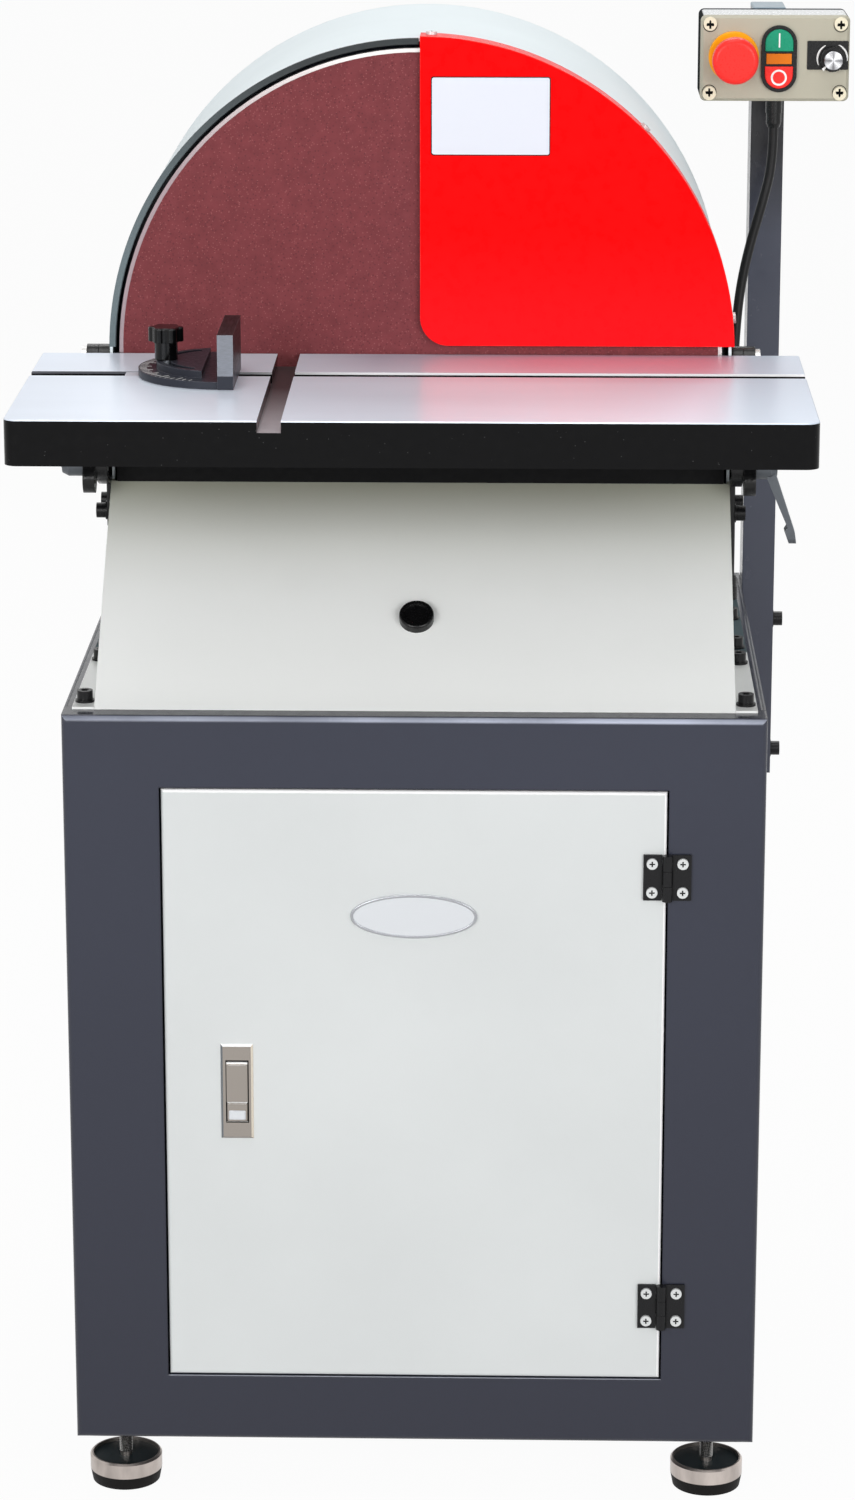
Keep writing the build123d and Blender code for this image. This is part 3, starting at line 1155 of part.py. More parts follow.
def lock_lever(hand, pointing):
    """A clamp lever: a hub on the stud and an arm that slopes away from the machine to a finger pad."""
    seat = place(hand * (TRUNNION_OUT + LOOSE_FIT), CLAMP_Y, CLAMP_Z)
    outward = Vector(hand, 0, 0)
    hub = [(0, 0), (0, LEVER_HUB_R), (LEVER_HUB_L * 0.7, LEVER_HUB_R)]
    hub.extend([(LEVER_HUB_L, LEVER_HUB_R * 0.75), (LEVER_HUB_L, 0)])
    turned(seat, (hand, 0, 0), hub)
    root = LEVER_FOOT + LEVER_T
    pad = LEVER_L - LEVER_PAD_L
    neck = pad - LEVER_PAD_STEP
    neck_out = root + (LEVER_PAD_OUT - root) * neck / pad
    outline = [
        (LEVER_FOOT, 0),
        (root, 0),
        (LEVER_PAD_OUT, pad),
        (LEVER_REACH, LEVER_L),
        (LEVER_REACH - LEVER_TIP_T, LEVER_L),
        (LEVER_PAD_OUT - LEVER_PAD_T, pad),
        (neck_out - LEVER_NECK_T, neck),
    ]
    arm_plane = Plane(origin=seat, x_dir=outward, z_dir=outward.cross(Vector(pointing)))
    prism(arm_plane.offset(-LEVER_W / 2), outline, LEVER_W)
    stud_hole = LEVER_CLAMP_L + LOOSE_FIT
    rods(Plane(origin=seat, z_dir=outward), [(0, 0)], CLAMP_R + RUN_FIT, stud_hole, Mode.SUBTRACT)


with BuildPart() as right_lock_lever:
    lock_lever(1, (0, 0, -1))
    fillet(right_lock_lever.edges().filter_by(Axis.X).group_by(Axis.Z)[0], LEVER_W / 3)
save(right_lock_lever.part, "right_lock_lever")

with BuildPart() as left_lock_lever:
    lock_lever(-1, (0, 1, 0))
    fillet(left_lock_lever.edges().filter_by(Axis.X).group_by(Axis.Y)[-1], LEVER_W / 3)
save(left_lock_lever.part, "left_lock_lever")

# Mitre gauge: a bar in the cross slot, a swinging head with its fence, and a clamp knob
BAR_TOP = TABLE_TOP - LOOSE_FIT
BAR_FOOT = TABLE_TOP - SLOT_D + LOOSE_FIT
HEAD_FOOT = TABLE_TOP + LOOSE_FIT
HEAD_TOP = HEAD_FOOT + GAUGE_HEAD_T
LOCK_X = GAUGE_X - GAUGE_SLOT_R
KNOB_FOOT = HEAD_TOP + LOOSE_FIT
FLANGE_TOP = HEAD_FOOT + GAUGE_FLANGE_T
FENCE_XS = (GAUGE_X, GAUGE_X + FENCE_T)
FENCE_YS = (CROSS_Y - FENCE_FRONT, CROSS_Y + FENCE_BACK)

with BuildPart() as gauge_bar:
    block(
        (GAUGE_X - GAUGE_BAR_LEFT, GAUGE_X + GAUGE_BAR_RIGHT),
        (CROSS_Y - SLOT_HALF + LOOSE_FIT, CROSS_Y + SLOT_HALF - LOOSE_FIT),
        (BAR_FOOT, BAR_TOP),
    )
    rods(level(BAR_TOP), [(GAUGE_X, CROSS_Y)], GAUGE_PIN_R, FLANGE_TOP - BAR_TOP)
    rods(level(BAR_TOP), [(LOCK_X, CROSS_Y)], LOCK_STUD_R, LOCK_STUD_L)
save(gauge_bar.part, "gauge_bar")

with BuildPart() as gauge_head:
    gauge_centre = [(GAUGE_X, CROSS_Y)]
    rods(level(HEAD_FOOT), gauge_centre, GAUGE_PLATEAU_R, GAUGE_HEAD_T)
    block(
        (GAUGE_X - GAUGE_PLATEAU_IN, GAUGE_X + GAUGE_PLATEAU_R),
        (CROSS_Y - GAUGE_PLATEAU_R, CROSS_Y + GAUGE_PLATEAU_R),
        (HEAD_FOOT, HEAD_TOP),
        Mode.SUBTRACT,
    )
    rods(level(HEAD_FOOT), gauge_centre, GAUGE_HEAD_R, GAUGE_FLANGE_T)
    block(
        (GAUGE_X, GAUGE_X + GAUGE_HEAD_R),
        (CROSS_Y - GAUGE_HEAD_R, CROSS_Y + GAUGE_HEAD_R),
        (HEAD_FOOT, FLANGE_TOP),
        Mode.SUBTRACT,
    )
    block(FENCE_XS, FENCE_YS, (HEAD_FOOT, HEAD_FOOT + GAUGE_RAIL_H))
    with BuildSketch(level(HEAD_FOOT)):
        with BuildLine(mode=Mode.PRIVATE) as swing:
            CenterArc((GAUGE_X, CROSS_Y), GAUGE_SLOT_R, 180 - GAUGE_SWING, 2 * GAUGE_SWING)
        SlotArc(arc=swing.edge(), height=2 * (LOCK_STUD_R + LOOSE_FIT))
    extrude(amount=GAUGE_HEAD_T, mode=Mode.SUBTRACT)
    rods(level(HEAD_FOOT), gauge_centre, GAUGE_PIN_R + RUN_FIT, GAUGE_FLANGE_T + LOOSE_FIT, Mode.SUBTRACT)
save(gauge_head.part, "gauge_head")

with BuildPart() as gauge_fence:
    block(FENCE_XS, FENCE_YS, (HEAD_FOOT + GAUGE_RAIL_H, HEAD_FOOT + FENCE_H))
save(gauge_fence.part, "gauge_fence")

with BuildPart() as gauge_knob:
    rods(level(KNOB_FOOT), [(LOCK_X, CROSS_Y)], KNOB_STEM_R, KNOB_STEM_H)
    with BuildSketch(level(KNOB_FOOT + KNOB_STEM_H)):
        with Locations((LOCK_X, CROSS_Y)):
            Circle(KNOB_CAP_R)
            with PolarLocations(KNOB_LOBE_AT, KNOB_LOBES):
                Circle(KNOB_LOBE_R)
    extrude(amount=KNOB_CAP_H)
    fillet(gauge_knob.faces().sort_by(Axis.Z)[-1].edges(), KNOB_CAP_H / 8)
    stud_top = BAR_TOP + LOCK_STUD_L + LOOSE_FIT
    rods(level(KNOB_FOOT), [(LOCK_X, CROSS_Y)], LOCK_STUD_R + RUN_FIT, stud_top - KNOB_FOOT, Mode.SUBTRACT)
save(gauge_knob.part, "gauge_knob")

# Control post on the cabinet's right side
POST_FOOT = CABINET_TOP - POST_BELOW
POST_YS = (POST_FRONT, POST_BACK)
BOX_SCREWS = [(BOX_MID, BOX_FOOT + BOX_H / 4), (BOX_MID, BOX_TOP - BOX_H / 4)]

with BuildPart() as control_post:
    block((CABINET_X, POST_X), POST_YS, (POST_FOOT, POST_TOP))
    block(
        (CABINET_X + POST_WALL, POST_X - POST_WALL),
        (POST_FRONT + POST_WALL, POST_BACK - POST_WALL),
        (POST_FOOT, POST_TOP),
        Mode.SUBTRACT,
    )
    rods(side(CABINET_X), POST_BOLTS, BOLT_R + BOLT_CLEAR, POST_W, Mode.SUBTRACT)
    rods(facing(POST_FRONT), BOX_SCREWS, SCREW_R + BOLT_CLEAR, -POST_WALL, Mode.SUBTRACT)
save(control_post.part, "control_post")

with BuildPart() as post_cap:
    block((CABINET_X, POST_X), POST_YS, (POST_TOP, POST_TOP + CAP_T))
    chamfer(post_cap.faces().sort_by(Axis.Z)[-1].edges(), CAP_T / 3)
    plug_in = POST_WALL + LOOSE_FIT
    block(
        (CABINET_X + plug_in, POST_X - plug_in),
        (POST_FRONT + plug_in, POST_BACK - plug_in),
        (POST_TOP - CAP_PLUG, POST_TOP),
    )
save(post_cap.part, "post_cap")

# Control box and lid
CONTROL_Z = (BOX_TOP + BOX_FOOT) / 2
CONTROL_AIR = STOP_MARGIN + PILL_GAP + DIAL_GAP + DIAL_MARGIN
AIR_SHARE = (BOX_W - 2 * COLLAR_R - PILL_W - DIAL_W) / CONTROL_AIR
STOP_X = BOX_LEFT + AIR_SHARE * STOP_MARGIN + COLLAR_R
PILL_X = STOP_X + COLLAR_R + AIR_SHARE * PILL_GAP + PILL_W / 2
DIAL_X = PILL_X + PILL_W / 2 + AIR_SHARE * DIAL_GAP + DIAL_W / 2
STOP_POINT = (STOP_X, CONTROL_Z + STOP_UP)
PILL_POINT = (PILL_X, CONTROL_Z)
DIAL_POINT = (DIAL_X, CONTROL_Z + DIAL_UP)
KNOB_POINT = (DIAL_X + KNOB_OFF, CONTROL_Z)
LID_SCREWS = [
    (BOX_MID + x, CONTROL_Z + z)
    for x in (BOX_POST_INSET - BOX_W / 2, BOX_W / 2 - BOX_POST_INSET)
    for z in (BOX_POST_DROP - BOX_H / 2, BOX_H / 2 - BOX_POST_DROP)
]
BOX_GLAND = (BOX_MID + BOX_GLAND_RIGHT, POST_FRONT - BOX_GLAND_AHEAD)
WINDOW_W = PILL_W - 2 * PILL_RIM
WINDOW_H = PILL_H - 2 * PILL_RIM

with BuildPart() as control_box:
    with BuildSketch(facing(LID_BACK)):
        with Locations((BOX_MID, CONTROL_Z)):
            RectangleRounded(BOX_W, BOX_H, BOX_CORNER_R)
    extrude(amount=-BOX_D)
    with BuildSketch(facing(LID_BACK)):
        with Locations((BOX_MID, CONTROL_Z)):
            RectangleRounded(BOX_W - 2 * BOX_WALL, BOX_H - 2 * BOX_WALL, BOX_CORNER_R - BOX_WALL)
    extrude(amount=BOX_WALL - BOX_D, mode=Mode.SUBTRACT)
    rods(facing(LID_BACK), LID_SCREWS, BOX_POST_R, -BOX_D)
    rods(facing(LID_BACK), LID_SCREWS, SCREW_R + SEAT_FIT, LID_T - 2 * SCREW_L, Mode.SUBTRACT)
    rods(facing(POST_FRONT), BOX_SCREWS, SCREW_R + BOLT_CLEAR, BOX_WALL, Mode.SUBTRACT)
    rods(level(BOX_FOOT), [BOX_GLAND], GLAND_STEM_R + BOLT_CLEAR, BOX_WALL, Mode.SUBTRACT)
save(control_box.part, "control_box")

with BuildPart() as control_lid:
    with BuildSketch(facing(LID_BACK)):
        with Locations((BOX_MID, CONTROL_Z)):
            RectangleRounded(BOX_W, BOX_H, BOX_CORNER_R)
    extrude(amount=LID_T)
    chamfer(control_lid.faces().sort_by(Axis.Y)[0].edges(), LID_BEVEL)
    rods(facing(LID_BACK), [STOP_POINT], COLLAR_NECK_R + BOLT_CLEAR, LID_T, Mode.SUBTRACT)
    rods(facing(LID_BACK), [KNOB_POINT], SPEED_STEM_R + RUN_FIT, LID_T, Mode.SUBTRACT)
    rods(facing(LID_BACK), LID_SCREWS, SCREW_R + BOLT_CLEAR, LID_T, Mode.SUBTRACT)
    with BuildSketch(facing(LID_BACK)):
        with Locations(PILL_POINT):
            SlotOverall(WINDOW_H, WINDOW_W, rotation=90)
    extrude(amount=LID_T, mode=Mode.SUBTRACT)
save(control_lid.part, "control_lid")

# Emergency stop: a mushroom that slides in its collar
with BuildPart() as stop_collar:
    rods(facing(LID_FACE), [STOP_POINT], COLLAR_R, COLLAR_T)
    chamfer(stop_collar.faces().sort_by(Axis.Y)[0].edges(), COLLAR_T / 4)
    rods(facing(LID_FACE), [STOP_POINT], COLLAR_NECK_R, -COLLAR_NECK_L)
    through = COLLAR_T + COLLAR_NECK_L
    rods(facing(LID_FACE - COLLAR_T), [STOP_POINT], STOP_STEM_R + LOOSE_FIT, -through, Mode.SUBTRACT)
save(stop_collar.part, "stop_collar")

with BuildPart() as stop_mushroom:
    cap_back = LID_FACE - COLLAR_T - STOP_STAND
    rods(facing(cap_back), [STOP_POINT], STOP_R, STOP_CAP_T)
    fillet(stop_mushroom.faces().sort_by(Axis.Y)[0].edges(), STOP_CAP_T / 3)
    rods(facing(cap_back), [STOP_POINT], STOP_STEM_R, cap_back - LID_BACK)
save(stop_mushroom.part, "stop_mushroom")

# Start and stop keys with a pilot lens between them, in one pill-shaped bezel
KEY_FACE = LID_FACE - PILL_T - KEY_PROUD
KEY_EDGE = LENS_H / 2 + LENS_BAR + LOOSE_FIT


def key_outline(centre, low, high):
    """A piece of the bezel's window between two heights from its middle, less the sliding gap."""
    with BuildSketch(Plane.XY) as outline:
        with Locations(centre):
            SlotOverall(WINDOW_H - 2 * LOOSE_FIT, WINDOW_W - 2 * LOOSE_FIT, rotation=90)
        with Locations((centre[0], centre[1] + (low + high) / 2)):
            Rectangle(WINDOW_W, high - low, mode=Mode.INTERSECT)
    return outline.sketch


with BuildPart() as button_bezel:
    with BuildSketch(facing(LID_FACE)):
        with Locations(PILL_POINT):
            SlotOverall(PILL_H, PILL_W, rotation=90)
            SlotOverall(WINDOW_H, WINDOW_W, rotation=90, mode=Mode.SUBTRACT)
            Rectangle(WINDOW_W, LENS_H + 2 * LENS_BAR)
            Rectangle(LENS_W + 2 * LOOSE_FIT, LENS_H + 2 * LOOSE_FIT, mode=Mode.SUBTRACT)
    extrude(amount=PILL_T)
save(button_bezel.part, "button_bezel")

with BuildPart() as pilot_lens:
    with BuildSketch(facing(LID_FACE - PILL_T)):
        with Locations(PILL_POINT):
            Rectangle(LENS_W, LENS_H)
    extrude(amount=-LENS_T)
save(pilot_lens.part, "pilot_lens")

with BuildPart() as start_button:
    upper_key = key_outline(PILL_POINT, KEY_EDGE, WINDOW_H)
    extrude(facing(KEY_FACE) * upper_key, amount=-KEY_T)
    chamfer(start_button.faces().sort_by(Axis.Y)[0].edges(), KEY_PROUD / 2)
save(start_button.part, "start_button")

with BuildPart() as stop_button:
    lower_key = key_outline(PILL_POINT, -WINDOW_H, -KEY_EDGE)
    extrude(facing(KEY_FACE) * lower_key, amount=-KEY_T)
    chamfer(stop_button.faces().sort_by(Axis.Y)[0].edges(), KEY_PROUD / 2)
save(stop_button.part, "stop_button")

# Speed dial: a plate with a skirted knob
with BuildPart() as dial_plate:
    with BuildSketch(facing(LID_FACE)):
        with Locations(DIAL_POINT):
            RectangleRounded(DIAL_W, DIAL_H, DIAL_T)
    extrude(amount=DIAL_T)
    rods(facing(LID_FACE), [KNOB_POINT], SPEED_STEM_R + RUN_FIT, DIAL_T, Mode.SUBTRACT)
save(dial_plate.part, "dial_plate")

with BuildPart() as speed_knob:
    skirt_back = LID_FACE - DIAL_T - LOOSE_FIT
    rods(facing(skirt_back), [KNOB_POINT], SPEED_SKIRT_R, SPEED_SKIRT_H)
    rods(facing(skirt_back), [KNOB_POINT], SPEED_CAP_R, SPEED_SKIRT_H + SPEED_CAP_H)
    rods(facing(skirt_back), [KNOB_POINT], SPEED_STEM_R, -SPEED_STEM_L)
    knob_face = facing(skirt_back - SPEED_SKIRT_H - SPEED_CAP_H)
    with BuildSketch(knob_face):
        with Locations(KNOB_POINT):
            with PolarLocations(SPEED_CAP_R * 0.6, 1, start_angle=POINTER_TURN):
                Rectangle(SPEED_CAP_R * 0.7, POINTER_W)
    extrude(amount=-POINTER_W / 2, mode=Mode.SUBTRACT)
save(speed_knob.part, "speed_knob")

# Control cable from the box down to the hood's foot, as straight runs joined by arcs
CABLE_ROUTE = [
    place(306.0, 214.0, 1121.5),
    place(306.0, 214.0, 1089.5),
    place(297.5, 211.0, 1054.5),
    place(286.5, 208.5, 1016.5),
    place(278.5, 206.0, 976.5),
    place(275.0, 203.5, 932.5),
    place(273.6, 201.5, 882.5),
    place(273.2, 200.5, 829.5),
    place(274.0, 200.0, 772.5),
    place(274.0, 200.0, 720.0),
]


def cable_radii(route):
    """The largest arc that the two runs beside each inner point allow."""
    radii = []
    for before, point, after in zip(route, route[1:], route[2:]):
        run_in = Vector(point) - Vector(before)
        run_out = Vector(after) - Vector(point)
        turn = acos(run_in.normalized().dot(run_out.normalized()))
        radii.append(0.45 * min(run_in.length, run_out.length) / tan(turn / 2))
    return radii


CABLE_RADII = cable_radii(CABLE_ROUTE)
print("control cable bend radii, mm:", [round(r) for r in CABLE_RADII])

with BuildPart() as control_cable:
    with BuildLine() as cable_path:
        FilletPolyline(*CABLE_ROUTE, radius=CABLE_RADII)
    with BuildSketch(Plane(origin=cable_path.line @ 0, z_dir=cable_path.line % 0)):
        Circle(CABLE_R)
    sweep()
cable_length = sum(edge.length for edge in cable_path.edges())
cable_share = control_cable.part.volume / (cable_length * pi * CABLE_R**2)
print("control cable length, mm:", round(cable_length, 1), "volume share:", round(cable_share, 4))
save(control_cable.part, "control_cable")


def gland(origin, along, radius, length, stem):
    """A cable gland: a stem through the sheet, a nut and a tapered cap."""
    profile = [
        (-stem, 0),
        (-stem, GLAND_STEM_R),
        (0, GLAND_STEM_R),
        (0, radius),
        (length * 0.5, radius),
        (length * 0.5, radius * 0.92),
        (length * 0.85, radius * 0.92),
        (length, radius * 0.72),
        (length, 0),
    ]
    turned(origin, along, profile)


with BuildPart() as cable_glands:
    gland(place(*BOX_GLAND, BOX_FOOT), (0, 0, -1), GLAND_R, BOX_GLAND_L, GLAND_STEM_L)
    gland(place(GLAND_X, GLAND_BACK, CABINET_TOP + HOOD_T), (0, 0, 1), GLAND_R, FOOT_GLAND_L, GLAND_STEM_L)
    gland(place(MAINS_X, CABINET_BACK, MAINS_Z), BACKWARD, MAINS_GLAND_R, MAINS_GLAND_L, GLAND_STEM_L)
save(cable_glands.part, "cable_glands")

# Speed drive inside the cabinet, screwed to its back
with BuildPart() as speed_drive:
    drive_front = INNER_BACK - DRIVE_D
    block((-DRIVE_W / 2, DRIVE_W / 2), (drive_front, INNER_BACK), (DRIVE_Z, DRIVE_Z + DRIVE_H))
    with BuildSketch(facing(drive_front)):
        with Locations((0, DRIVE_Z + DRIVE_H / 2)):
            with GridLocations(3 * DRIVE_FIN, 0, 7, 1):
                Rectangle(DRIVE_FIN, DRIVE_H * 0.7)
    extrude(amount=-DRIVE_FIN, mode=Mode.SUBTRACT)
    rods(facing(INNER_BACK), DRIVE_SCREWS, SCREW_R + SEAT_FIT, SCREW_L, Mode.SUBTRACT)
save(speed_drive.part, "speed_drive")

# Fasteners of the stand
with BuildPart() as cap_screws:
    cap_bolts(level(CABINET_TOP + HOOD_T), HOOD_BOLTS, HOOD_T + CABINET_T + BOLT_PAST)
    cap_bolts(level(CABINET_TOP + CHUTE_T), CHUTE_BOLTS, CHUTE_T + CABINET_T + BOLT_PAST)
    cap_bolts(level(CABINET_TOP + PLATE_T), PLATE_BOLTS, PLATE_T + CABINET_T + BOLT_PAST)
    cap_bolts(side(POST_X), POST_BOLTS, POST_W + CABINET_T + BOLT_PAST)
    lug_seat = HOOD_OUT + BRACKET_LIP_T
    cap_bolts(side(lug_seat), LUG_BOLTS, BRACKET_LIP_T + HOOD_T)
    left_lug = Plane(side(-lug_seat).origin, x_dir=(0, -1, 0), z_dir=(-1, 0, 0))
    cap_bolts(left_lug, [(-y, z) for y, z in LUG_BOLTS], BRACKET_LIP_T + HOOD_T)
    cap_bolts(facing(PLATE_Y), FLANGE_BOLTS, PLATE_T + FLANGE_T - FLANGE_BOLT_SPARE)
save(cap_screws.part, "cap_screws")

with BuildPart() as cover_screws:
    for screw_plane in GUARD_SCREW_PLANES:
        pan_screws(screw_plane, [(0, 0)], GUARD_T + GUARD_RIM_GAP + HOOD_T)
    rear = Plane(facing(PORT_SEAT).origin, x_dir=(-1, 0, 0), z_dir=(0, 1, 0))
    pan_screws(rear, [(-x, z) for x, z in BACK_HOLES], HOOD_BACK_T + HOOD_T + LOOSE_FIT)
    pan_screws(rear.offset(PORT_FLANGE_T), [(-x, z) for x, z in PORT_HOLES])
    pan_screws(facing(LID_FACE), LID_SCREWS, LID_T + SCREW_L, LID_SCREW_HEAD_R)
    pan_screws(facing(CABINET_FRONT - HINGE_T), FRAME_SCREWS)
    pan_screws(rear.offset(CABINET_BACK - HOOD_END - HOOD_BACK_T), [(-x, z) for x, z in DRIVE_SCREWS])
    pan_screws(facing(POST_FRONT - BOX_WALL), BOX_SCREWS, BOX_WALL + POST_WALL + LOOSE_FIT)
save(cover_screws.part, "cover_screws")
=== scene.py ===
import json
import math

import bmesh
import bpy
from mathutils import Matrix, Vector


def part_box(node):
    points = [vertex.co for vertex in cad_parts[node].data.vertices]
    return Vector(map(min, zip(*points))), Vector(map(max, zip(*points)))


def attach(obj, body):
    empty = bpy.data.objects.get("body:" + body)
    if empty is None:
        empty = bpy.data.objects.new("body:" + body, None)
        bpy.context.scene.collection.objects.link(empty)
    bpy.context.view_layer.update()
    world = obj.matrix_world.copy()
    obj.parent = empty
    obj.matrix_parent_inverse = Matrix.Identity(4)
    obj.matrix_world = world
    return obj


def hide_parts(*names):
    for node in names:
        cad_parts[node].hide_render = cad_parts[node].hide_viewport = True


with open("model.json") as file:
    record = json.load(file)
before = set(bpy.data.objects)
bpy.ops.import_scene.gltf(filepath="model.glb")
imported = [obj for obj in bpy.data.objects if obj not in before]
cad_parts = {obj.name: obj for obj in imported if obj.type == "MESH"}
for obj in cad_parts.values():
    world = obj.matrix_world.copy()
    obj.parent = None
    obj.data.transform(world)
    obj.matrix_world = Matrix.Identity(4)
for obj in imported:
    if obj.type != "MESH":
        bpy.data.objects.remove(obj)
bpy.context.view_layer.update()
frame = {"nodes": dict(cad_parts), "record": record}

# Directions of the frame: to the right, up, and out of the machine's front
ACROSS = Vector((1, 0, 0))
UP = Vector((0, 0, 1))
AHEAD = Vector((0, -1, 0))


def middle(name):
    """Middle of a node's box, with the depth of its front."""
    low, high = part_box(name)
    return Vector(((low.x + high.x) / 2, low.y, (low.z + high.z) / 2))


# All sizes and places below are in the frame's metres, and angles are in degrees

# Camera at the photograph's viewing angle, with its lens and sensor in millimetres
CAMERA_PLACE = (0.068, -3.699, 1.6205)
CAMERA_PITCH = 15.38
CAMERA_YAW = 1.353
CAMERA_LENS = 105.6
CAMERA_SENSOR = 36.0

# The control cable's route from the box to the hood's foot, and its size
CABLE_ROUTE = [
    (0.281, 0.191, 1.1215),
    (0.281, 0.191, 1.0895),
    (0.2725, 0.188, 1.0545),
    (0.2615, 0.1855, 1.0165),
    (0.2535, 0.183, 0.9765),
    (0.250, 0.1805, 0.9325),
    (0.2486, 0.1785, 0.8825),
    (0.2482, 0.1775, 0.8295),
    (0.249, 0.177, 0.7725),
    (0.249, 0.177, 0.720),
]
CABLE_DIAMETER = 0.0085

# The disc's radius, and the point where its axis meets the sanding face
DISC_R = (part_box("disc_plate")[1].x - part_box("disc_plate")[0].x) / 2
FACE = Vector((middle("disc_plate").x, middle("sanding_sheet").y, middle("disc_plate").z))

# Edge trim of the hood: the band's radii, what it laps inside and outside, its front, its depth and its arc
HOOD_IN_R = 0.2605
HOOD_OUT_R = 0.2630
TRIM_LAP_IN = 0.0028
TRIM_LAP_OUT = 0.0003
TRIM_PROUD = 0.0006
TRIM_DEPTH = 0.0030
TRIM_START = 90.3
TRIM_SWEEP = 89.0
TRIM_STEPS = 48

# Band round the disc plate: how far it sinks in and stands out, its bevel, and its edges behind the face
BAND_SINK = 0.0003
BAND_RISE = 0.0011
BAND_BEVEL = 0.0003
BAND_FRONT = 0.0012
BAND_BACK = 0.0070
BAND_STEPS = 128

# Blank plate on the guard: its middle, its size and the painted shadow border round it
PLATE_X = 0.0339
PLATE_Z = 1.158
PLATE_W = 0.0979
PLATE_H = 0.0639
PLATE_T = 0.0006
PLATE_BEVEL = 0.0002
PLATE_CORNER = 0.0014
BORDER_W = 0.0008
BORDER_T = 0.0004
BORDER_CORNER = 0.0020

# Rim of the badge: its half width and half height, and how far its middle lies inside the edge
RIM_HALF_W = 0.0012
RIM_HALF_H = 0.0009
RIM_INSET = 0.0014
RIM_STEPS = 96
RIM_SIDES = 8

# Signs on the start and stop keys
START_BAR_W = 0.0013
START_BAR_H = 0.0125
START_BAR_CORNER = 0.0004
STOP_RING_IN = 0.0053
STOP_RING_OUT = 0.0070
KEY_INK_T = 0.00025

# Screws of the control lid: heads, distance from its edges, and the painted shade in the gaps round them and
# in their cross recesses
SCREW_R = 0.0059
SCREW_HEAD_H = 0.0026
SCREW_INSET = 0.0081
SCREW_GAP_IN = 0.0002
SCREW_GAP_OUT = 0.0004
SCREW_GAP_T = 0.0002
CROSS_REACH = 0.0033
CROSS_HALF_W = 0.0009
CROSS_T = 0.00005

# Dial marks: two arcs that swell in the middle
ARC_TURNS = ((205, 118), (-8, 66))
ARC_STEPS = 24
ARC_R = 0.0131
ARC_HALF_W = 0.0003
ARC_SWELL = 0.0005
ARC_T = 0.0002

# Speed knob: ribs on its skirt, a cap as distances ahead and radii, and a pointer
RIB_COUNT = 24
RIB_BACK = 0.0148
RIB_LENGTH = 0.0070
RIB_R = 0.0103
RIB_W = 0.0010
RIB_H = 0.0012
RIB_CORNER = 0.0003
CAP_PROFILE = [(0.0, 0.0080), (0.0003, 0.0081), (0.0006, 0.0078), (0.0009, 0.0004)]
POINTER_TURN = 225
POINTER_NEAR = 0.0076
POINTER_FAR = 0.0124
POINTER_NEAR_HALF_W = 0.0006
POINTER_FAR_HALF_W = 0.0013
POINTER_BACK = 0.0074
POINTER_T = 0.0010

# Degree marks of the mitre gauge: where its pivot meets the flange, and each third mark longer
GAUGE_PIVOT = Vector((-0.185, -0.120, 0.9628))
MARK_COUNT_EACH_WAY = 14
MARK_TURN = 5
MARK_R = 0.0690
MARK_LONG = 0.0100
MARK_SHORT = 0.0060
MARK_HALF_W = 0.0003
MARK_T = 0.00015

# Threads of the levelling studs
THREAD_FOOT = 0.0245
THREAD_PITCH = 0.0015
THREAD_TURNS = 16
THREAD_ROOT_R = 0.0050
THREAD_CREST_R = 0.0056
THREAD_SIDES = 32

# Latch: faces on its handle and push, dark strips of painted shadow in the gaps that start beside them and
# how far each reaches, finger ledge
SKIN_INSET = 0.0010
SKIN_HEAD_GAP = 0.0018
SKIN_T = 0.0009
SKIN_BEVEL = 0.0007
SKIN_CORNER = 0.0014
GAP_START = 0.0001
GAP_LEFT = 0.0007
GAP_RIGHT = 0.0011
GAP_HEAD = 0.0014
GAP_FOOT = 0.0009
GAP_T = 0.0001
GAP_CORNER = 0.0001
LEDGE_W = 0.0140
LEDGE_H = 0.0080
LEDGE_T = 0.0010
LEDGE_BEVEL = 0.0006
LEDGE_CORNER = 0.0012
LEDGE_RISE = 0.0060

# Lip of the chute: its half width, and its section as distances ahead of the sanding face and above the head
SEAL_HALF_W = 0.258
SEAL_SECTION = [(0.0086, -0.0015), (0.0056, -0.0015), (0.0050, 0.0145), (0.0062, 0.0151), (0.0080, 0.0025)]

# Where finishes change: heights on the feet, depths below the table's top, behind the cabinet's front and
# before the control box's back, and the depth from which a screw belongs to the control box
PAD_TOP = 0.0105
DISH_TOP = 0.0227
LIP_DEPTH = 0.0020
SLOT_DEPTH = 0.0070
SILL_DEPTH = 0.0015
SEAM_DEPTH = 0.0099
BOX_SCREWS_Y = 0.145

# Stage: the floor's size, its grey, the share of white in a direct look at it, and the light from all round
FLOOR_SIZE = 60
FLOOR_GREY = 0.72
FLOOR_WHITE = 0.96
WORLD_STRENGTH = 0.30

# Soft boxes: name, place, the point that they are aimed at, width, height and power in watts
LIGHTS = (
    ("front_left", (-1.9, -4.1, 1.85), (0, 0, 0.75), 2.6, 1.8, 93),
    ("front_right", (2.1, -4.0, 1.75), (0, 0, 0.75), 2.6, 1.8, 80),
    ("above", (0, -0.65, 3.6), (0, 0, 0.8), 1.6, 1.6, 26),
    ("behind", (0.3, 2.7, 3.5), (0, 0, 0.85), 2.0, 2.0, 40),
)


def srgb(red, green, blue):
    """A screen colour from 0 to 255 as the renderer's own values."""
    parts = []
    for part in (red, green, blue):
        share = part / 255
        parts.append(share / 12.92 if share <= 0.04045 else ((share + 0.055) / 1.055) ** 2.4)
    return (*parts, 1.0)


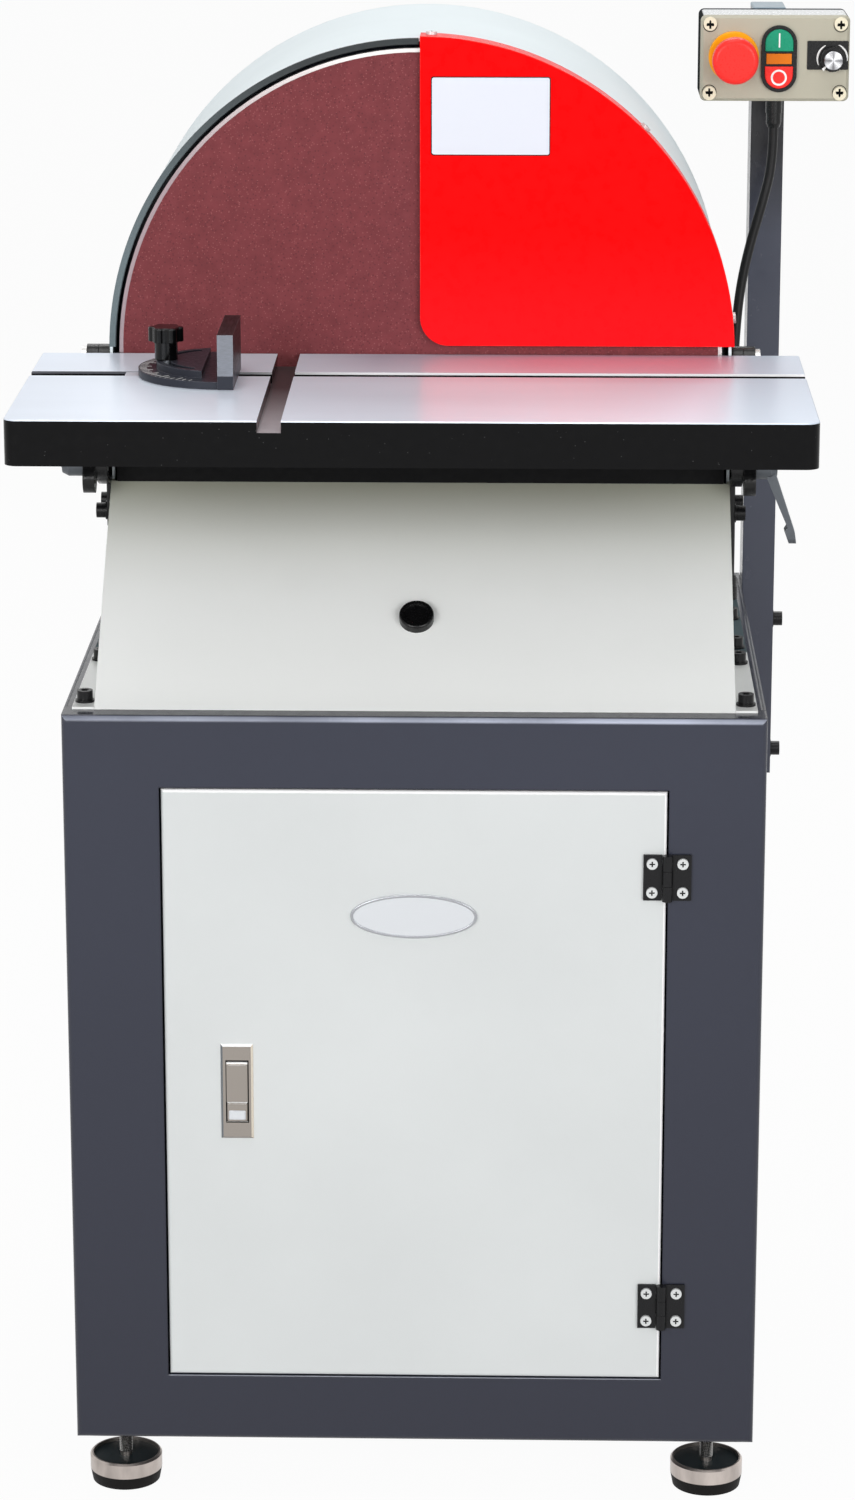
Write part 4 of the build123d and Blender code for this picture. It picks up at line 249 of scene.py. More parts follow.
def make_camera():
    """A long lens in front of the machine, a little above it and looking down."""
    data = bpy.data.cameras.new("camera")
    data.lens = CAMERA_LENS
    data.sensor_width = CAMERA_SENSOR
    camera = bpy.data.objects.new("camera", data)
    camera.location = CAMERA_PLACE
    camera.rotation_euler = (math.radians(90 - CAMERA_PITCH), 0, math.radians(CAMERA_YAW))
    bpy.context.scene.collection.objects.link(camera)
    bpy.context.scene.camera = camera


# Material building blocks
def fill(tree, socket, value):
    """Link a socket to another one, or set it to a plain value."""
    if isinstance(value, bpy.types.NodeSocket):
        tree.links.new(value, socket)
    else:
        socket.default_value = value


def node(tree, kind, **inputs):
    """A shader node with its inputs set or linked by name."""
    made = tree.nodes.new(kind)
    for name, value in inputs.items():
        fill(tree, made.inputs[name.replace("_", " ")], value)
    return made


def worked(tree, kind, operation, *values):
    """A math node with its operation and the values that it works on, in order."""
    made = tree.nodes.new(kind)
    made.operation = operation
    for socket, value in zip(made.inputs, values):
        fill(tree, socket, value)
    return made.outputs


def number(tree, operation, *values):
    """The result of an operation on numbers."""
    return worked(tree, "ShaderNodeMath", operation, *values)[0]


def product(tree, first, *others):
    """Masks multiplied."""
    for other in others:
        first = number(tree, "MULTIPLY", first, other)
    return first


def coords(tree, stretch=(1, 1, 1)):
    """Places on the piece in metres, stretched for grain that runs one way."""
    here = tree.nodes.new("ShaderNodeTexCoord").outputs["Object"]
    if stretch == (1, 1, 1):
        return here
    return node(tree, "ShaderNodeMapping", Vector=here, Scale=stretch).outputs["Vector"]


def parts_of(tree, output):
    """The three parts of the piece's own place or direction."""
    source = tree.nodes.new("ShaderNodeTexCoord").outputs[output]
    return node(tree, "ShaderNodeSeparateXYZ", Vector=source).outputs


def noise(tree, scale, detail=3.0, stretch=(1, 1, 1)):
    """Fractal noise over the piece, from 0 to 1."""
    here = coords(tree, stretch)
    return node(tree, "ShaderNodeTexNoise", Vector=here, Scale=scale, Detail=detail).outputs["Fac"]


def between(tree, value, low, high, start=0.0, end=1.0):
    """A value carried from one range to another and held at its ends."""
    ends = dict(From_Min=low, From_Max=high, To_Min=start, To_Max=end)
    return node(tree, "ShaderNodeMapRange", Value=value, **ends).outputs["Result"]


def mixed(tree, mask, first, second):
    """Two colours mixed by a mask."""
    made = tree.nodes.new("ShaderNodeMix")
    made.data_type = "RGBA"
    for index, value in ((0, mask), (6, first), (7, second)):
        fill(tree, made.inputs[index], value)
    return made.outputs[2]


def toned(tree, color, tone, scale, stretch=(1, 1, 1)):
    """A colour that drifts lighter and darker over the piece."""
    ramp = node(tree, "ShaderNodeValToRGB", Fac=noise(tree, scale, 4.0, stretch))
    for stop, (place, share) in zip(ramp.color_ramp.elements, ((0.3, 1 - tone), (0.7, 1 + tone))):
        stop.position = place
        stop.color = (*(min(1.0, part * share) for part in color[:3]), 1.0)
    return ramp.outputs["Color"]


def softened(tree, radius):
    """The surface's direction with its edges rounded off."""
    soft = node(tree, "ShaderNodeBevel", Radius=radius)
    soft.samples = 4
    return soft.outputs["Normal"]


def edge_mask(tree, radius, wear_scale):
    """Where the piece has an edge, broken up by noise."""
    flat = tree.nodes.new("ShaderNodeNewGeometry").outputs["Normal"]
    turned = worked(tree, "ShaderNodeVectorMath", "DOT_PRODUCT", softened(tree, radius), flat)["Value"]
    patchy = between(tree, noise(tree, wear_scale), 0.35, 0.65)
    return product(tree, between(tree, turned, 0.995, 0.85), patchy)


def crevice(tree, distance):
    """Where the piece is hollow: slots, sockets and gaps."""
    made = node(tree, "ShaderNodeAmbientOcclusion", Distance=distance)
    made.samples = 8
    made.only_local = True
    return between(tree, made.outputs["AO"], 0.96, 0.74)


class Surface:
    """A procedural material: drifting colour, uneven gloss and a fine grain."""

    def __init__(self, name, color, rough, metal=0.0, tone=0.05, tone_scale=5.0, grain=0.1, grain_size=0.0006,
                 grain_depth=0.0001, stretch=(1, 1, 1), rough_vary=0.06, specular=0.5, soft_edge=0.0):
        self.material = bpy.data.materials.new(name)
        self.material.use_nodes = True
        self.tree = tree = self.material.node_tree
        self.shader = tree.nodes["Principled BSDF"]
        self.color = toned(tree, color, tone, tone_scale, stretch)
        patches = noise(tree, 0.25 / grain_size, 3.0, stretch)
        self.rough = between(tree, patches, 0.3, 0.7, max(0.02, rough - rough_vary), rough + rough_vary)
        fine = noise(tree, 1 / grain_size, 2.0, stretch)
        bump = node(tree, "ShaderNodeBump", Height=fine, Strength=grain, Distance=grain_depth)
        if soft_edge:
            fill(tree, bump.inputs["Normal"], softened(tree, soft_edge))
        self.put("Base Color", self.color)
        self.put("Roughness", self.rough)
        self.put("Normal", bump.outputs["Normal"])
        self.put("Metallic", metal)
        self.put("Specular IOR Level", specular)

    def put(self, name, value):
        """Set or link one input of the shader."""
        fill(self.tree, self.shader.inputs[name], value)

    def along(self, axis, start, end):
        """A mask that rises from 0 to 1 between two places on an axis of the frame."""
        return between(self.tree, parts_of(self.tree, "Object")[axis], start, end)

    def past(self, axis, place, fade):
        """A mask that turns from 0 to 1 at a place on an axis, or from 1 to 0 where the fade is negative."""
        return self.along(axis, place - fade, place + fade)

    def facing(self, axis, start, end):
        """A mask that rises from 0 to 1 with the share of its direction that a face has along an axis."""
        return between(self.tree, parts_of(self.tree, "Normal")[axis], start, end)

    def meet(self, *masks):
        """Where all of the masks are."""
        return product(self.tree, *masks)

    def weigh(self, mask, under, over):
        """A number that changes from one value to another with a mask."""
        made = self.tree.nodes.new("ShaderNodeMix")
        for index, value in ((0, mask), (2, under), (3, over)):
            fill(self.tree, made.inputs[index], value)
        return made.outputs[0]

    def over(self, mask, color=None, rough=None, metal=None):
        """Lay another finish over this one where the mask is 1."""
        if color is not None:
            self.color = mixed(self.tree, mask, self.color, color)
            self.put("Base Color", self.color)
        if rough is not None:
            self.rough = self.weigh(mask, self.rough, rough)
            self.put("Roughness", self.rough)
        if metal is not None:
            links = self.shader.inputs["Metallic"].links
            under = links[0].from_socket if links else self.shader.inputs["Metallic"].default_value
            self.put("Metallic", self.weigh(mask, under, metal))
        return self

    def worn(self, color, radius=0.0012, scale=60.0):
        """Rub the edges through to another colour."""
        return self.over(edge_mask(self.tree, radius, scale), color)

    def darken_hollows(self, color, distance=0.002):
        """Darken the hollows."""
        return self.over(crevice(self.tree, distance), color)

    def specks(self, color, size, share):
        """Scatter small specks of another colour."""
        cells = node(self.tree, "ShaderNodeTexVoronoi", Vector=coords(self.tree), Scale=1 / size)
        return self.over(between(self.tree, cells.outputs["Distance"], share, share * 0.7), color)


# Materials
def paint(name, color, **extra):
    """Stove paint: a faint orange peel, a soft gloss and softened edges."""
    settings = dict(rough=0.34, grain=0.10, grain_size=0.0022, grain_depth=0.0004, tone=0.03, soft_edge=0.001)
    settings.update(extra)
    return Surface(name, color, **settings)


def plastic(name, color, rough, **extra):
    """Moulded plastic with a fine spark-eroded grain."""
    return Surface(name, color, rough, grain=0.16, grain_size=0.0005, grain_depth=0.0001, tone=0.03, **extra)


def steel(name, color, rough=0.28, **extra):
    """Bright metal with a fine drawn grain."""
    settings = dict(metal=1.0, grain=0.12, grain_size=0.0004, grain_depth=0.00005, stretch=(1, 1, 0.15))
    settings.update(extra)
    return Surface(name, color, rough, **settings)


def cabinet_finish():
    """Slate paint with painted shade that darkens it towards the floor, a painted highlight on the door sill
    and painted highlights on edges turned upwards.
    """
    made = paint("slate_paint", srgb(51, 54, 67), rough=0.2, specular=0.35, soft_edge=0.003)
    # Painted shade, darker towards the floor
    made.over(made.along("Z", 0.65, 0.05), srgb(43, 45, 57))
    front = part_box("cabinet_front")[0].y
    # Painted highlight along the door sill
    sill = made.meet(made.past("Y", front + SILL_DEPTH, -0.001), made.along("Z", 0.3, 0.2))
    made.over(made.meet(sill, made.facing("Z", 0.9, 0.95)), srgb(200, 204, 216))
    # Painted highlights on edges turned upwards, broken up by noise
    patchy = between(made.tree, noise(made.tree, 7.0, 2.0), 0.35, 0.65, 0.35, 1.0)
    shine = made.meet(made.facing("Z", 0.12, 0.4), made.facing("Z", 0.98, 0.85), patchy)
    return made.over(shine, srgb(190, 196, 214), 0.3)


def post_finish():
    """Slate paint with a painted shadow of the control box on the front below it."""
    made = paint("post_paint", srgb(76, 79, 92), rough=0.22, specular=0.35, soft_edge=0.002)
    # Painted shadow below the control box, on the front only
    return made.over(made.meet(made.facing("Y", -0.5, -0.8), made.along("Z", 1.02, 1.10)), srgb(44, 44, 47))


def door_finish():
    """Pale paint with painted highlights on its rounded edges at the top and the right."""
    made = paint("door_paint", srgb(206, 209, 209))
    # Painted highlights: white on faces turned up or to the right
    for axis in "XZ":
        made.over(made.facing(axis, 0.2, 0.5), srgb(255, 255, 255))
    return made


def ground_color(made):
    """Ground iron: bluish, greyer at the right end with painted shade, and near the disc painted shade that
    turns to a painted pink reflection of the guard towards the right.
    """
    tree = made.tree
    color = toned(tree, srgb(226, 234, 246), 0.02, 12.0, (0.3, 2, 1))
    # Painted shade, greyer at the right end
    color = mixed(tree, made.along("X", 0.10, 0.21), color, srgb(204, 215, 229))
    # Near the disc: painted shade, then a painted pink reflection of the guard further right
    near_disc = made.meet(made.along("Y", -0.16, -0.04), made.along("X", 0.255, 0.215))
    for (left, right), painted_tint in (((-0.14, -0.06), srgb(185, 184, 199)), ((-0.03, 0.08), srgb(208, 160, 178))):
        color = mixed(tree, made.meet(near_disc, made.along("X", left, right)), color, painted_tint)
    return color


def table_finish():
    """Ground top, a painted highlight on the long slot's lip that painted shade darkens towards the left,
    duller slot floors with painted shade towards the disc, and black gloss edges with specks.
    """
    dull = 0.11
    made = Surface("table_iron", srgb(12, 12, 13), 0.2, grain=0.15, grain_size=0.002, grain_depth=0.0003,
                   specular=dull)
    made.specks(srgb(92, 92, 92), 0.006, 0.055)
    tree = made.tree
    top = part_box("work_table")[1].z
    slot_wall = made.meet(made.facing("Y", -0.8, -0.9), made.along("Y", -0.14, -0.13))
    # Painted highlight on the slot's far lip, turning to painted shade towards the left
    lip_color = mixed(tree, made.along("X", -0.2, -0.06), srgb(96, 97, 104), srgb(250, 250, 252))
    made.over(made.meet(slot_wall, made.past("Z", top - LIP_DEPTH, 0.0002)), lip_color, 0.4)
    # Painted shade on the slot floors, darker towards the disc
    slot_floor = toned(tree, srgb(168, 164, 168), 0.08, 40.0)
    slot_floor = mixed(tree, made.along("Y", -0.27, -0.13), slot_floor, srgb(52, 46, 48))
    up = made.facing("Z", 0.45, 0.6)
    on_top = made.past("Z", top - SLOT_DEPTH, 0.0015)
    made.over(up, mixed(tree, on_top, slot_floor, ground_color(made)), metal=0.2)
    scratches = between(tree, noise(tree, 500.0, 3.0, (0.06, 1, 1)), 0.3, 0.7, 0.284, 0.298)
    made.over(up, rough=scratches)
    made.put("Specular IOR Level", made.weigh(up, dull, 0.5))
    flat = tree.nodes.new("ShaderNodeNewGeometry").outputs["Normal"]
    made.put("Tangent", worked(tree, "ShaderNodeVectorMath", "CROSS_PRODUCT", flat, ACROSS)["Vector"])
    made.put("Anisotropic", made.weigh(up, 0.0, 0.88))
    return made


def hood_finish():
    """Pale paint outside and a dark grey-teal on the faces turned to the disc."""
    made = paint("hood_paint", srgb(237, 246, 249), rough=0.5, specular=0.02)
    tree = made.tree
    place, way = parts_of(tree, "Object"), parts_of(tree, "Normal")
    right, rise = number(tree, "SUBTRACT", place["X"], FACE.x), number(tree, "SUBTRACT", place["Z"], FACE.z)
    outward = number(tree, "ADD", product(tree, right, way["X"]), product(tree, rise, way["Z"]))
    return made.over(between(tree, outward, -0.02, -0.04), srgb(92, 106, 110), 0.6)


def chute_finish():
    """Pale paint with painted shade, darker and yellower towards the table above it."""
    made = paint("chute_paint", srgb(250, 252, 250))
    # Painted shade under the table, strongest at the chute's head
    rise = made.along("Z", 0.75, 0.845)
    return made.over(made.meet(rise, rise), srgb(184, 186, 170))


def guard_finish():
    """Signal red, a little pinker near the table, with rubbed edges."""
    made = paint("red_paint", srgb(248, 3, 6), rough=0.3, specular=0.06)
    made.over(made.along("Z", 1.06, 0.975), srgb(248, 18, 26))
    return made.worn(srgb(255, 90, 80))


def abrasive_finish():
    """Red grit with lighter and darker grains."""
    made = Surface("abrasive", srgb(118, 57, 61), 0.85, tone=0.10, tone_scale=110.0, grain=0.8,
                   grain_size=0.0014, grain_depth=0.0005, specular=0.2)
    return made.specks(srgb(143, 80, 82), 0.0026, 0.24).specks(srgb(104, 50, 54), 0.0032, 0.28)


def alloy_finish():
    """Turned alloy, darker and pinker on one side."""
    made = Surface("disc_alloy", srgb(206, 202, 200), 0.38, metal=0.9, grain=0.1, grain_size=0.0005)
    return made.over(made.along("X", -0.08, -0.23), srgb(146, 130, 134))


def trim_finish():
    """Dark rubber with painted light that makes it greyer towards its lower end."""
    made = Surface("edge_trim", srgb(34, 40, 42), 0.35, grain=0.2, grain_size=0.001, specular=0.35)
    # Painted light, greyer towards the lower end
    return made.over(made.along("Z", 1.20, 1.04), srgb(98, 111, 115))


def box_finish():
    """A pale case with painted shade on its sides and a dark seam at its back."""
    made = Surface("grey_plastic", srgb(214, 217, 218), 0.25, grain=0.03, tone=0.02, soft_edge=0.0008)
    tree = made.tree
    # Painted shade on both sides of the case, with no sheen
    flank = between(tree, number(tree, "ABSOLUTE", parts_of(tree, "Normal")["X"]), 0.35, 0.55)
    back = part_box("control_box")[1].y
    seam = made.meet(made.past("Y", back - SEAM_DEPTH, 0.0005), made.facing("Y", 0.8, 0.6))
    made.over(flank, srgb(52, 54, 54), 0.5)
    made.over(seam, srgb(40, 46, 54), 0.5)
    made.put("Specular IOR Level", made.weigh(seam, made.weigh(flank, 0.5, 0.0), 0.0))
    return made


def cap_finish():
    """A turned metal cap with painted highlights that spread in four rays from its middle."""
    made = steel("cap_metal", srgb(206, 207, 209), 0.24, grain=0.03, grain_depth=0.00002)
    tree = made.tree
    knob = middle("speed_knob")
    shift, tilt = (-knob.x, -knob.z, knob.y), (math.radians(-90), 0, 0)
    here = node(tree, "ShaderNodeMapping", Vector=coords(tree), Location=shift, Rotation=tilt)
    turn = node(tree, "ShaderNodeTexGradient", Vector=here.outputs["Vector"])
    turn.gradient_type = "RADIAL"
    # Painted highlights: light and dark rays round the cap's middle
    rays = node(tree, "ShaderNodeValToRGB", Fac=turn.outputs["Fac"])
    tones = (110, 245, 120, 235, 100, 245, 120, 240, 110)
    steps = len(tones) - 1
    stops = rays.color_ramp.elements
    for step in range(1, steps):
        stops.new(step / steps)
    for stop, tone in zip(stops, tones):
        stop.color = srgb(tone, tone, tone + 3)
    made.put("Base Color", rays.outputs["Color"])
    return made


def screw_finish():
    """Bright plated heads with painted shade in their recesses, cream on the control box."""
    made = steel("screw_plate", srgb(208, 210, 210), 0.34, metal=0.3, grain=0.05)
    made.over(made.past("Y", BOX_SCREWS_Y, 0.005), srgb(216, 208, 184))
    # Painted shade in the recesses, black and without sheen
    hollow = crevice(made.tree, 0.002)
    made.over(hollow, srgb(8, 7, 6), 0.8, 0.0)
    made.put("Specular IOR Level", made.weigh(hollow, 0.5, 0.0))
    return made


def latch_finish():
    """Satin steel with painted light on its bevels: a painted highlight above, cream painted light on the
    right and painted shade on the left.
    """
    made = steel("stainless", srgb(160, 153, 146), 0.2, stretch=(0.2, 1, 1), grain=0.05)
    # Painted light on the bevels by the way they face
    made.over(made.facing("X", 0.3, 0.5), srgb(226, 216, 200))
    made.over(made.facing("X", -0.3, -0.5), srgb(128, 132, 136))
    return made.over(made.facing("Z", 0.3, 0.5), srgb(250, 250, 250), 0.4, 0.0)


def foot_finish():
    """A rubber pad, a brushed steel cup with a dark dished top, and a steel stud."""
    made = Surface("foot_rubber", srgb(15, 13, 13), 0.6, grain=0.3, grain_size=0.0008, grain_depth=0.0002,
                   specular=0.15)
    above_pad = made.past("Z", PAD_TOP, 0.0001)
    made.over(above_pad, toned(made.tree, srgb(190, 180, 174), 0.25, 60.0, (1, 1, 0.3)), 0.3, 1.0)
    dish = made.meet(made.facing("Z", 0.8, 0.9), made.past("Z", DISH_TOP, -0.0005), above_pad)
    return made.over(dish, srgb(30, 42, 46), 0.4, 0.4)


def lever_finish():
    """Cast grey arms with rubbed edges."""
    made = Surface("cast_aluminium", srgb(88, 92, 97), 0.4, metal=0.7, grain=0.3, grain_size=0.001,
                   grain_depth=0.0002, tone=0.08, tone_scale=60.0, soft_edge=0.0008)
    return made.worn(srgb(140, 144, 148), 0.001, 120.0)


def fence_finish():
    """Black anodised sides with a bright sawn end."""
    made = Surface("fence_black", srgb(22, 22, 24), 0.36, metal=0.3, specular=0.25, grain=0.15,
                   grain_size=0.0005, stretch=(1, 0.1, 1), soft_edge=0.0006)
    sawn = toned(made.tree, srgb(122, 125, 132), 0.1, 220.0, (1, 1, 5))
    made.over(made.facing("Y", -0.8, -0.95), sawn, 0.35, 0.8)
    return made.worn(srgb(120, 120, 122), 0.0009, 150.0)


def gauge_finish():
    """Black painted casting with rubbed edges."""
    made = Surface("gauge_black", srgb(48, 50, 58), 0.34, specular=0.12, grain=0.3, grain_size=0.0009,
                   grain_depth=0.0002, soft_edge=0.0006)
    return made.worn(srgb(120, 122, 130), 0.0008, 150.0)


def trunnion_finish():
    """Black gloss iron with rubbed edges."""
    made = Surface("dark_iron", srgb(17, 17, 18), 0.22, specular=0.3, grain=0.4, grain_size=0.0018,
                   grain_depth=0.0004, soft_edge=0.001)
    return made.worn(srgb(58, 58, 60), 0.0012, 90.0)


def black_steel_finish():
    """Blackened steel with darker hollows."""
    made = steel("black_steel", srgb(18, 18, 20), 0.3, metal=0.0, specular=0.25, soft_edge=0.0006)
    return made.darken_hollows(srgb(3, 3, 3))


def make_materials():
    """One finish for each slot of the record, and a few for single pieces."""
    made = {
        "slate_paint": cabinet_finish(),
        "door_paint": door_finish(),
        "post_paint": post_finish(),
        "pale_paint": paint("pale_paint", srgb(214, 217, 217)),
        "cap_paint": paint("cap_paint", srgb(150, 166, 176), specular=0.1),
        "chute_paint": chute_finish(),
        "hood_paint": hood_finish(),
        "red_paint": guard_finish(),
        "abrasive": abrasive_finish(),
        "disc_alloy": alloy_finish(),
        "cast_aluminium": lever_finish(),
        "motor_iron": Surface("motor_iron", srgb(70, 76, 88), 0.5, grain=0.45, grain_size=0.0016,
                              grain_depth=0.0004, soft_edge=0.001),
        "table_iron": table_finish(),
        "dark_iron": trunnion_finish(),
        "steel": steel("steel", srgb(200, 199, 197)).darken_hollows(srgb(40, 38, 36)),
        "stainless": latch_finish(),
        "screw_plate": screw_finish(),
        "cap_metal": cap_finish(),
        "black_steel": black_steel_finish(),
        "bar_steel": Surface("bar_steel", srgb(216, 221, 230), 0.4, metal=0.25, grain=0.1, grain_size=0.0005,
                             stretch=(0.1, 1, 1)),
        "gauge_black": gauge_finish(),
        "fence": fence_finish(),
        "badge": Surface("badge", srgb(214, 217, 221), 0.24, metal=0.35, grain=0.03, grain_size=0.003,
                         tone=0.02, rough_vary=0.02, soft_edge=0.0005),
        "bright_rim": Surface("bright_rim", srgb(176, 178, 182), 0.2, metal=1.0, grain=0.02, grain_size=0.002,
                              rough_vary=0.02),
        # Black for sheets of painted shadow in gaps and recesses, and round the guard's plate
        "dark_gap": Surface("dark_gap", srgb(10, 10, 10), 0.7, grain=0.1, specular=0.05),
        "label": Surface("label", srgb(218, 221, 230), 0.32, grain=0.02, grain_size=0.0008, tone=0.003,
                         rough_vary=0.01),
        "white_ink": Surface("white_ink", srgb(240, 240, 238), 0.4, grain=0.05, tone=0.02),
        "knob_black": plastic("knob_black", srgb(8, 8, 9), 0.12, specular=0.25, soft_edge=0.001),
        "black_plastic": plastic("black_plastic", srgb(13, 13, 14), 0.25, specular=0.3, soft_edge=0.0006),
        "grey_plastic": box_finish(),
        "beige_plastic": plastic("beige_plastic", srgb(174, 170, 152), 0.36, soft_edge=0.0008),
        "red_plastic": plastic("red_plastic", srgb(248, 46, 40), 0.3, specular=0.25, soft_edge=0.001),
        "yellow_plastic": plastic("yellow_plastic", srgb(252, 166, 14), 0.32, specular=0.2, soft_edge=0.0006),
        "green_plastic": plastic("green_plastic", srgb(14, 146, 110), 0.3, specular=0.25, soft_edge=0.0006),
        "orange_lens": plastic("orange_lens", srgb(222, 118, 10), 0.22, specular=0.25, soft_edge=0.0005),
        "foot_rubber": foot_finish(),
        "cable_rubber": Surface("cable_rubber", srgb(14, 14, 15), 0.4, grain=0.2, grain_size=0.0007,
                                specular=0.25),
        "edge_trim": trim_finish(),
        "seal_rubber": Surface("seal_rubber", srgb(9, 9, 10), 0.6, grain=0.3, grain_size=0.001, specular=0.1),
    }
    return {name: surface.material for name, surface in made.items()}


MATERIAL_OF_NODE = {
    "control_post": "post_paint",
    "post_cap": "cap_paint",
    "door_panel": "door_paint",
    "dust_chute": "chute_paint",
    "hood_band": "hood_paint",
    "hood_back": "hood_paint",
    "disc_plate": "disc_alloy",
    "gauge_bar": "bar_steel",
    "gauge_fence": "fence",
    "gauge_knob": "knob_black",
    "latch_bezel": "stainless",
    "latch_handle": "stainless",
    "latch_button": "stainless",
    "door_badge": "badge",
    "cover_screws": "screw_plate",
    "hinge_door_screws": "screw_plate",
}


def dress_nodes(materials):
    """Give each piece of the frame its finish."""
    for part in frame["record"]["subparts"]:
        finish = MATERIAL_OF_NODE.get(part["node"], part["material_slot"])
        mesh = frame["nodes"][part["node"]].data
        mesh.materials.clear()
        mesh.materials.append(materials[finish])


# Building blocks of the detail pieces
def keep(name, made, material, body, smooth=35.0):
    """Finish a mesh as a piece that rides on a body."""
    bmesh.ops.recalc_face_normals(made, faces=made.faces[:])
    mesh = bpy.data.meshes.new(name)
    made.to_mesh(mesh)
    made.free()
    for face in mesh.polygons:
        face.use_smooth = True
    mesh.set_sharp_from_angle(angle=math.radians(smooth))
    mesh.materials.append(material)
    piece = bpy.data.objects.new(name, mesh)
    bpy.context.scene.collection.objects.link(piece)
    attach(piece, body)


def spoke(degrees, up=UP):
    """A direction turned from the right towards another one."""
    return ACROSS * math.cos(math.radians(degrees)) + up * math.sin(math.radians(degrees))


def rounded(width, height, radius, steps=6):
    """Outline of a rectangle with rounded corners."""
    points = []
    for corner, (sx, sy) in enumerate(((1, 1), (-1, 1), (-1, -1), (1, -1))):
        for step in range(steps + 1):
            turn = math.radians(90 * corner + 90 * step / steps)
            points.append((sx * (width / 2 - radius) + radius * math.cos(turn),
                           sy * (height / 2 - radius) + radius * math.sin(turn)))
    return points


def tapered(start, end, half_start, half_end):
    """Outline of a bar along an axis that changes in width from its start to its end."""
    return [(start, -half_start), (end, -half_end), (end, half_end), (start, half_start)]


def crossed(reach, half):
    """Outline of a cross with four equal arms."""
    arm = [(reach, -half), (reach, half), (half, half)]
    outline = []
    for _ in range(4):
        outline.extend(arm)
        arm = [(-up, right) for right, up in arm]
    return outline


def slab(made, outline, origin, across, up, depth, bevel=0.0):
    """A thin plate with an outline on a plane, raised by its depth, its front edge bevelled."""
    out = across.cross(up).normalized()
    low = [made.verts.new(origin + across * a + up * b) for a, b in outline]
    high = [made.verts.new(v.co + out * depth) for v in low]
    made.faces.new(list(reversed(low)))
    top = made.faces.new(high)
    for i in range(len(low)):
        j = (i + 1) % len(low)
        made.faces.new((low[i], low[j], high[j], high[i]))
    if bevel:
        bmesh.ops.bevel(made, geom=list(top.edges), offset=bevel, segments=2, affect="EDGES")


def skin(made, sections, closed=True):
    """A skin over sections with as many points each, joined to a ring or capped at both ends."""
    rows = [[made.verts.new(point) for point in section] for section in sections]
    for this, following in zip(rows, rows[1:] + (rows[:1] if closed else [])):
        for k in range(len(this)):
            m = (k + 1) % len(this)
            made.faces.new((this[k], this[m], following[m], following[k]))
    if not closed:
        made.faces.new(rows[0])
        made.faces.new(list(reversed(rows[-1])))


def hoop(made, centre, section, count=40):
    """A ring that faces the front, with a section given as radii and distances ahead of its centre."""
    spokes = [spoke(360 * step / count) for step in range(count)]
    skin(made, [[centre + out * radius + AHEAD * rise for radius, rise in section] for out in spokes])


def flat_section(inner, outer, rise):
    """Section of a flat ring."""
    return [(inner, 0.0), (outer, 0.0), (outer, rise), (inner, rise)]


def lathe(made, origin, along, across, profile, count=48):
    """A turned form: points of distance along an axis and radius, swept round it and closed at its ends."""
    other = along.cross(across)
    rows = []
    for distance, radius in profile:
        centre = origin + along * distance
        rows.append([
            made.verts.new(centre + (across * math.cos(turn) + other * math.sin(turn)) * radius)
            for turn in (math.tau * i / count for i in range(count))
        ])
    for low, high in zip(rows, rows[1:]):
        for i in range(count):
            j = (i + 1) % count
            made.faces.new((low[i], low[j], high[j], high[i]))
    made.faces.new(list(reversed(rows[0])))
    made.faces.new(rows[-1])


# Detail pieces
def make_cable(materials):
    """The control cable as one smooth hanging line."""
    data = bpy.data.curves.new("control_cable_line", "CURVE")
    data.dimensions = "3D"
    data.bevel_depth = CABLE_DIAMETER / 2
    data.bevel_resolution = 6
    data.use_fill_caps = True
    spline = data.splines.new("NURBS")
    spline.points.add(len(CABLE_ROUTE) - 1)
    for point, place in zip(spline.points, CABLE_ROUTE):
        point.co = (*place, 1.0)
    spline.order_u = 3
    spline.use_endpoint_u = True
    spline.resolution_u = 12
    data.materials.append(materials["cable_rubber"])
    cable = bpy.data.objects.new("control_cable_line", data)
    bpy.context.scene.collection.objects.link(cable)
    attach(cable, "stand")
    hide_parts("control_cable")


def make_hood_trim(materials):
    """A dark channel pressed over the hood's front edge, from the guard round to the table."""
    made = bmesh.new()
    inner, outer = HOOD_IN_R - TRIM_LAP_IN, HOOD_OUT_R + TRIM_LAP_OUT
    section = [(inner, -TRIM_PROUD), (inner + TRIM_PROUD, TRIM_PROUD), (outer, TRIM_PROUD),
               (outer, -TRIM_DEPTH), (inner, -TRIM_DEPTH)]
    spokes = [spoke(TRIM_START + TRIM_SWEEP * step / (TRIM_STEPS - 1)) for step in range(TRIM_STEPS)]
    rows = [[FACE + out * radius + AHEAD * rise for radius, rise in section] for out in spokes]
    skin(made, rows, closed=False)
    keep("hood_edge_trim", made, materials["edge_trim"], "stand")


def make_disc_band(materials):
    """A bright turned band round the disc plate's edge."""
    made = bmesh.new()
    inner, outer = DISC_R - BAND_SINK, DISC_R + BAND_RISE
    section = [(inner, -BAND_FRONT), (outer - BAND_BEVEL, -BAND_FRONT), (outer, -BAND_FRONT - BAND_BEVEL),
               (outer, -BAND_BACK), (inner, -BAND_BACK)]
    hoop(made, FACE, section, BAND_STEPS)
    keep("disc_band", made, materials["disc_alloy"], "disc")


